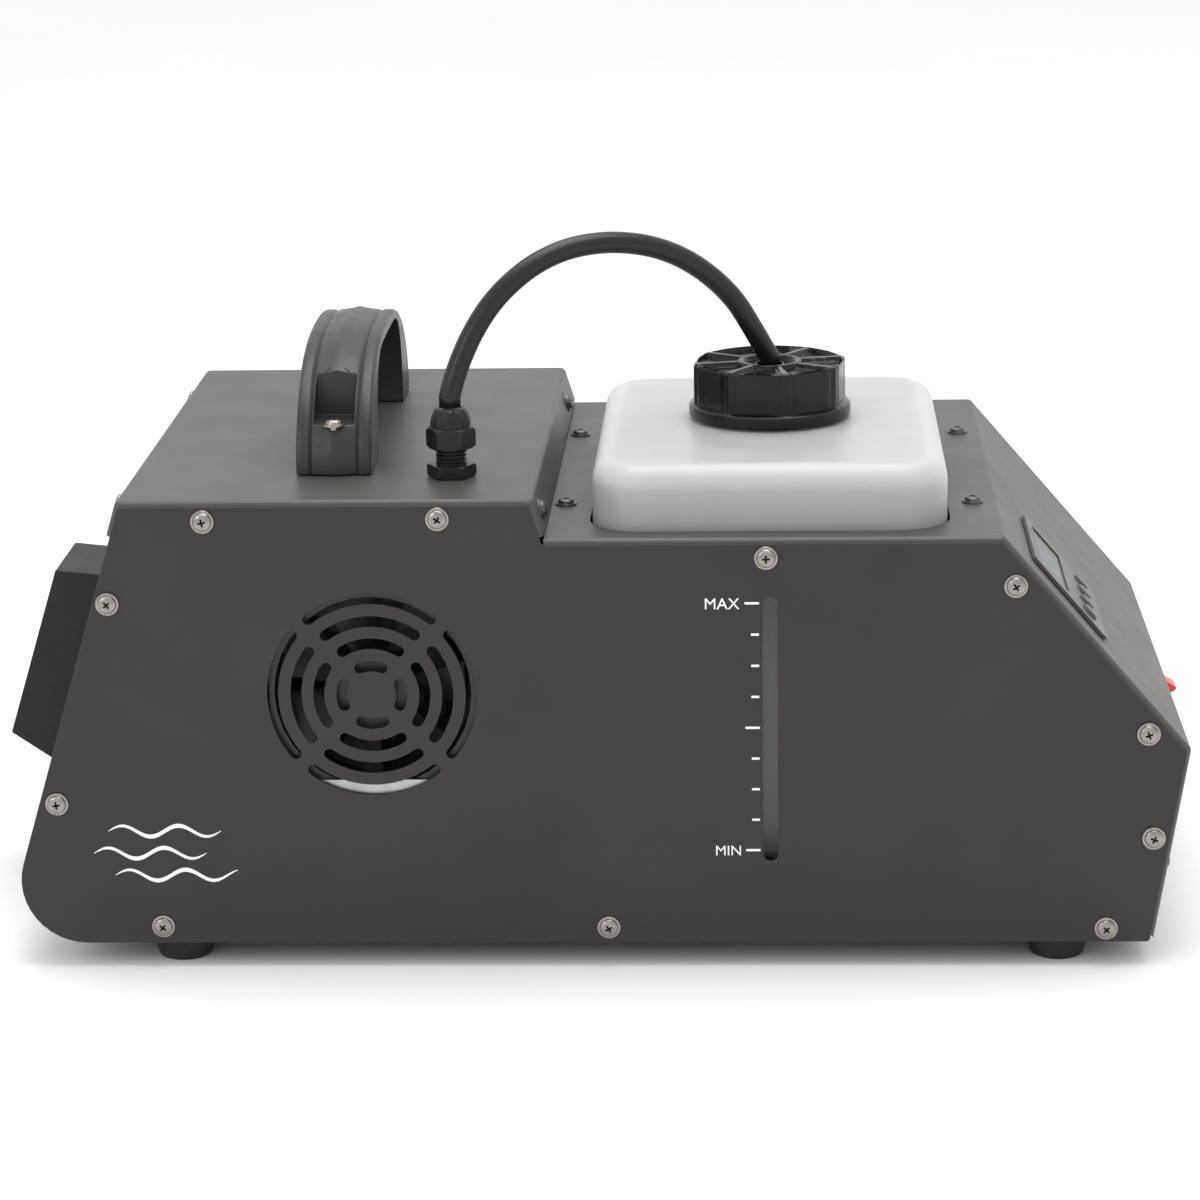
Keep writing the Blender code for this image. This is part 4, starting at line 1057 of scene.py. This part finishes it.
def level_scale():
    """Nine ticks between the MAX and MIN marks, the end and middle ones long."""
    top, bottom = SCALE_ENDS
    for k in range(SCALE_MARKS):
        z = top + (bottom - top) * k / (SCALE_MARKS - 1)
        reach = (281.5, 287.0) if k % 4 == 0 else (283.9, 286.9)
        mesh = box(reach, (-HALF - INK[1], -HALF + INK[0]), (z - 0.45, z + 0.45))
        finished(shape(f"level_tick_{k}", mesh), MATERIALS["print_white"])
    text_piece("level_max_label", "MAX", 4.6, 279.6, top)
    text_piece("level_min_label", "MIN", 4.2, 279.9, bottom)


def fog_symbol():
    """A generic sign for fog: three waves, one above another."""
    height, length, half_line, steps = 2.2, 22.0, 0.85, 48
    for row, (left, right) in enumerate(((34.0, 78.0), (28.0, 72.0), (36.0, 84.0))):
        base = 46.0 - 9.0 * row
        upper, lower = [], []
        for k in range(steps + 1):
            x = left + (right - left) * k / steps
            wave = height * math.sin((x - left) / length * 2 * math.pi)
            thick = half_line * math.sqrt(max(0.02, math.sin(math.pi * k / steps)))
            upper.append((x, base + wave + thick))
            lower.append((x, base + wave - thick))
        mesh = prism(upper + lower[::-1], -HALF - INK[1], -HALF + INK[0], "XZ")
        finished(shape(f"fog_wave_{row}", mesh), MATERIALS["print_white"])


# The switch, and small parts in the rear face's sockets


def rocker_key():
    """A paddle with raised ends, tilted to its off position about the joint's axis."""
    side = [(7.8, -4.5), (8.6, -2.3), (8.8, 0.0), (8.8, 3.0), (8.3, 7.0), (7.7, 7.5), (6.8, 7.3)]
    outline = side + [(3.0, 4.4), (0.0, 3.7), (-3.0, 4.4)] + [(-x, z) for x, z in reversed(side)]
    key = prism(outline, -ROCKER_HALF_WIDTH, ROCKER_HALF_WIDTH, "XZ")
    turn = Euler((0, math.radians(ROCKER_TILT), 0))
    at = Matrix.LocRotScale((*ROCKER_AT, ROCKER_PIVOT), turn, None)
    obj = shape("switch_key", key, REAR @ at)
    round_edges(obj, 0.4, 40, 3)
    finished(obj, MATERIALS["switch_red"], "power_rocker", ["rocker"])


def rear_trim(name, meshes, material, body="case"):
    """Pieces drawn on the rear face, whose x runs down it and z points out."""
    obj = shape(name, joined(meshes), REAR)
    round_edges(obj, 0.12)
    return finished(obj, MATERIALS[material], body)


def peg(at, radius, low, high):
    return prism(circle(at, radius, 24), low, high)


def mains_details():
    """The inlet's three pins, and ridges to grip the fuse drawer by."""
    down, y = INLET_AT[0], INLET_AT[1] + SOCKET_SHIFT
    spots = [(down + 2.0, y), (down - 2.0, y - 7.0), (down - 2.0, y + 7.0)]
    pins = [prism(centred(at, (4.0, 2.0)), -13.1, -1.5) for at in spots]
    rear_trim("mains_pins", pins, "nickel_steel")
    y = INLET_AT[1] + FUSE_SHIFT
    spots = [(down + d, y) for d in (-7.6, -5.6, 5.6, 7.6)]
    ridges = [prism(centred(at, (1.0, 7.0)), 3.3, 4.0) for at in spots]
    rear_trim("fuse_drawer_grip", ridges, "black_plastic", "fuse_holder")


def xlr_details():
    """The flange screws, and the inserts, with pins in the one socket and, in the other, thin near-black
    discs of painted shade where its pin holes are.
    """
    small = screw_mesh("flange_screw_head", 4.2, "black_steel")
    small.transform(Matrix.Scale(0.62, 4))
    facing = REAR.to_3x3() @ Vector((0, 0, 1))
    places = []
    for y in XLR_Y.values():
        for side in (-1, 1):
            places.append((REAR @ Vector((XLR_DOWN + side * 12.0, y - side * 9.5, 2.3)), facing, y))
    screws("flange_screw", small, places)
    middle = (XLR_DOWN, XLR_Y["xlr_in"])
    ring = [polar(middle, XLR_PIN_RING, a * math.pi / 2) for a in (-1, 0, 1)]
    rear_trim("xlr_in_insert", [peg(middle, 9.2, -11.1, -10.4)], "black_plastic")
    pins = [peg(at, 1.2, -11.0, -1.5) for at in ring]
    rear_trim("xlr_in_pins", pins, "nickel_steel")
    middle = (XLR_DOWN, XLR_Y["xlr_out"])
    rear_trim("xlr_out_insert", [peg(middle, 7.5, 2.25, 2.8)], "black_plastic")
    ring = [polar(middle, XLR_PIN_RING, a * math.pi / 2) for a in (-1, 0, 1)]
    # Painted shade: the pin holes are not cut, and thin near-black discs stand for the shadow in them.
    holes = [peg(at, 1.5, 2.7, 2.86) for at in ring]
    finished(shape("xlr_out_hole_shade", joined(holes), REAR), MATERIALS["recess_and_painted_shade"])


# CAD nodes that stay, with rounded edges and their own materials


def carried_over():
    """The edge modifier keeps each node's mesh and place as they are."""
    slots = {row["node"]: row["material_slot"] for row in frame["record"]["subparts"]}
    for name, node in frame["nodes"].items():
        if node.hide_render:
            continue
        node.data.materials.clear()
        node.data.materials.append(MATERIALS[slots[name]])
        edges = node.modifiers.new("edges", "BEVEL")
        edges.width = 0.3 * MM
        edges.segments = 2
        edges.limit_method = "ANGLE"
        edges.angle_limit = math.radians(40)


# Stage

WORLD_STRENGTH = 1.02
OVERHEAD_WATTS = 16
WINDOW_WATTS = 5
LENS = 113.571
CAMERA_AT = (290.929, -1512.808, 512.547)
CAMERA_PITCH_YAW_ROLL = (15.1037, 2.6533, -0.9905)


def make_floor():
    low = cad_box[0].z
    data = bpy.data.meshes.new("floor")
    mesh = bmesh.new()
    bmesh.ops.create_grid(mesh, x_segments=4, y_segments=4, size=6.0)
    mesh.to_mesh(data)
    obj = bpy.data.objects.new("floor", data)
    obj.location.z = low
    bpy.context.scene.collection.objects.link(obj)
    data.materials.append(surface("floor", (0.93, 0.93, 0.93), 0.8, 0, 0.01, 0.5, 0.01, 0.00001))


def area_light(name, at, target, size, power):
    light = bpy.data.lights.new(name, "AREA")
    light.shape = "RECTANGLE"
    light.size, light.size_y = size
    light.energy = power
    obj = bpy.data.objects.new(name, light)
    way = Vector(target) - Vector(at)
    obj.matrix_world = Matrix.LocRotScale(Vector(at), way.to_track_quat("-Z", "Y"), None)
    bpy.context.scene.collection.objects.link(obj)


def light():
    world = bpy.data.worlds.new("studio")
    world.use_nodes = True
    world.node_tree.nodes["Background"].inputs["Color"].default_value = (1, 1, 1, 1)
    world.node_tree.nodes["Background"].inputs["Strength"].default_value = WORLD_STRENGTH
    bpy.context.scene.world = world
    area_light("overhead", (0.1, 0.1, 1.5), (0, 0, 0.1), (1.4, 1.0), OVERHEAD_WATTS)
    area_light("window", (-1.2, -1.4, 1.0), (0, 0, 0.1), (0.8, 0.8), WINDOW_WATTS)
    bpy.context.scene.view_settings.view_transform = "Standard"


def camera():
    data = bpy.data.cameras.new("camera")
    data.lens = LENS
    data.sensor_width = 36.0
    data.clip_end = 50.0
    pitch, yaw, roll = (math.radians(a) for a in CAMERA_PITCH_YAW_ROLL)
    upright = Matrix(((1, 0, 0), (0, 0, -1), (0, 1, 0)))
    turn = Matrix.Rotation(roll, 3, "Z") @ Matrix.Rotation(pitch, 3, "X")
    rows = turn @ Matrix.Rotation(yaw, 3, "Y") @ upright
    facing = Matrix((rows[0], -rows[1], -rows[2])).transposed()
    obj = bpy.data.objects.new("camera", data)
    at = CASE @ Vector(CAMERA_AT)
    obj.matrix_world = Matrix.LocRotScale(at, facing.to_quaternion(), None)
    bpy.context.scene.collection.objects.link(obj)
    bpy.context.scene.camera = obj


camera()
feed_hose()
side_panels()
top_cover()
deck()
pan()
hood()
all_screws()
feet()
handle()
tank()
cap()
gland()
level_scale()
fog_symbol()
rocker_key()
mains_details()
xlr_details()
carried_over()
make_floor()
light()
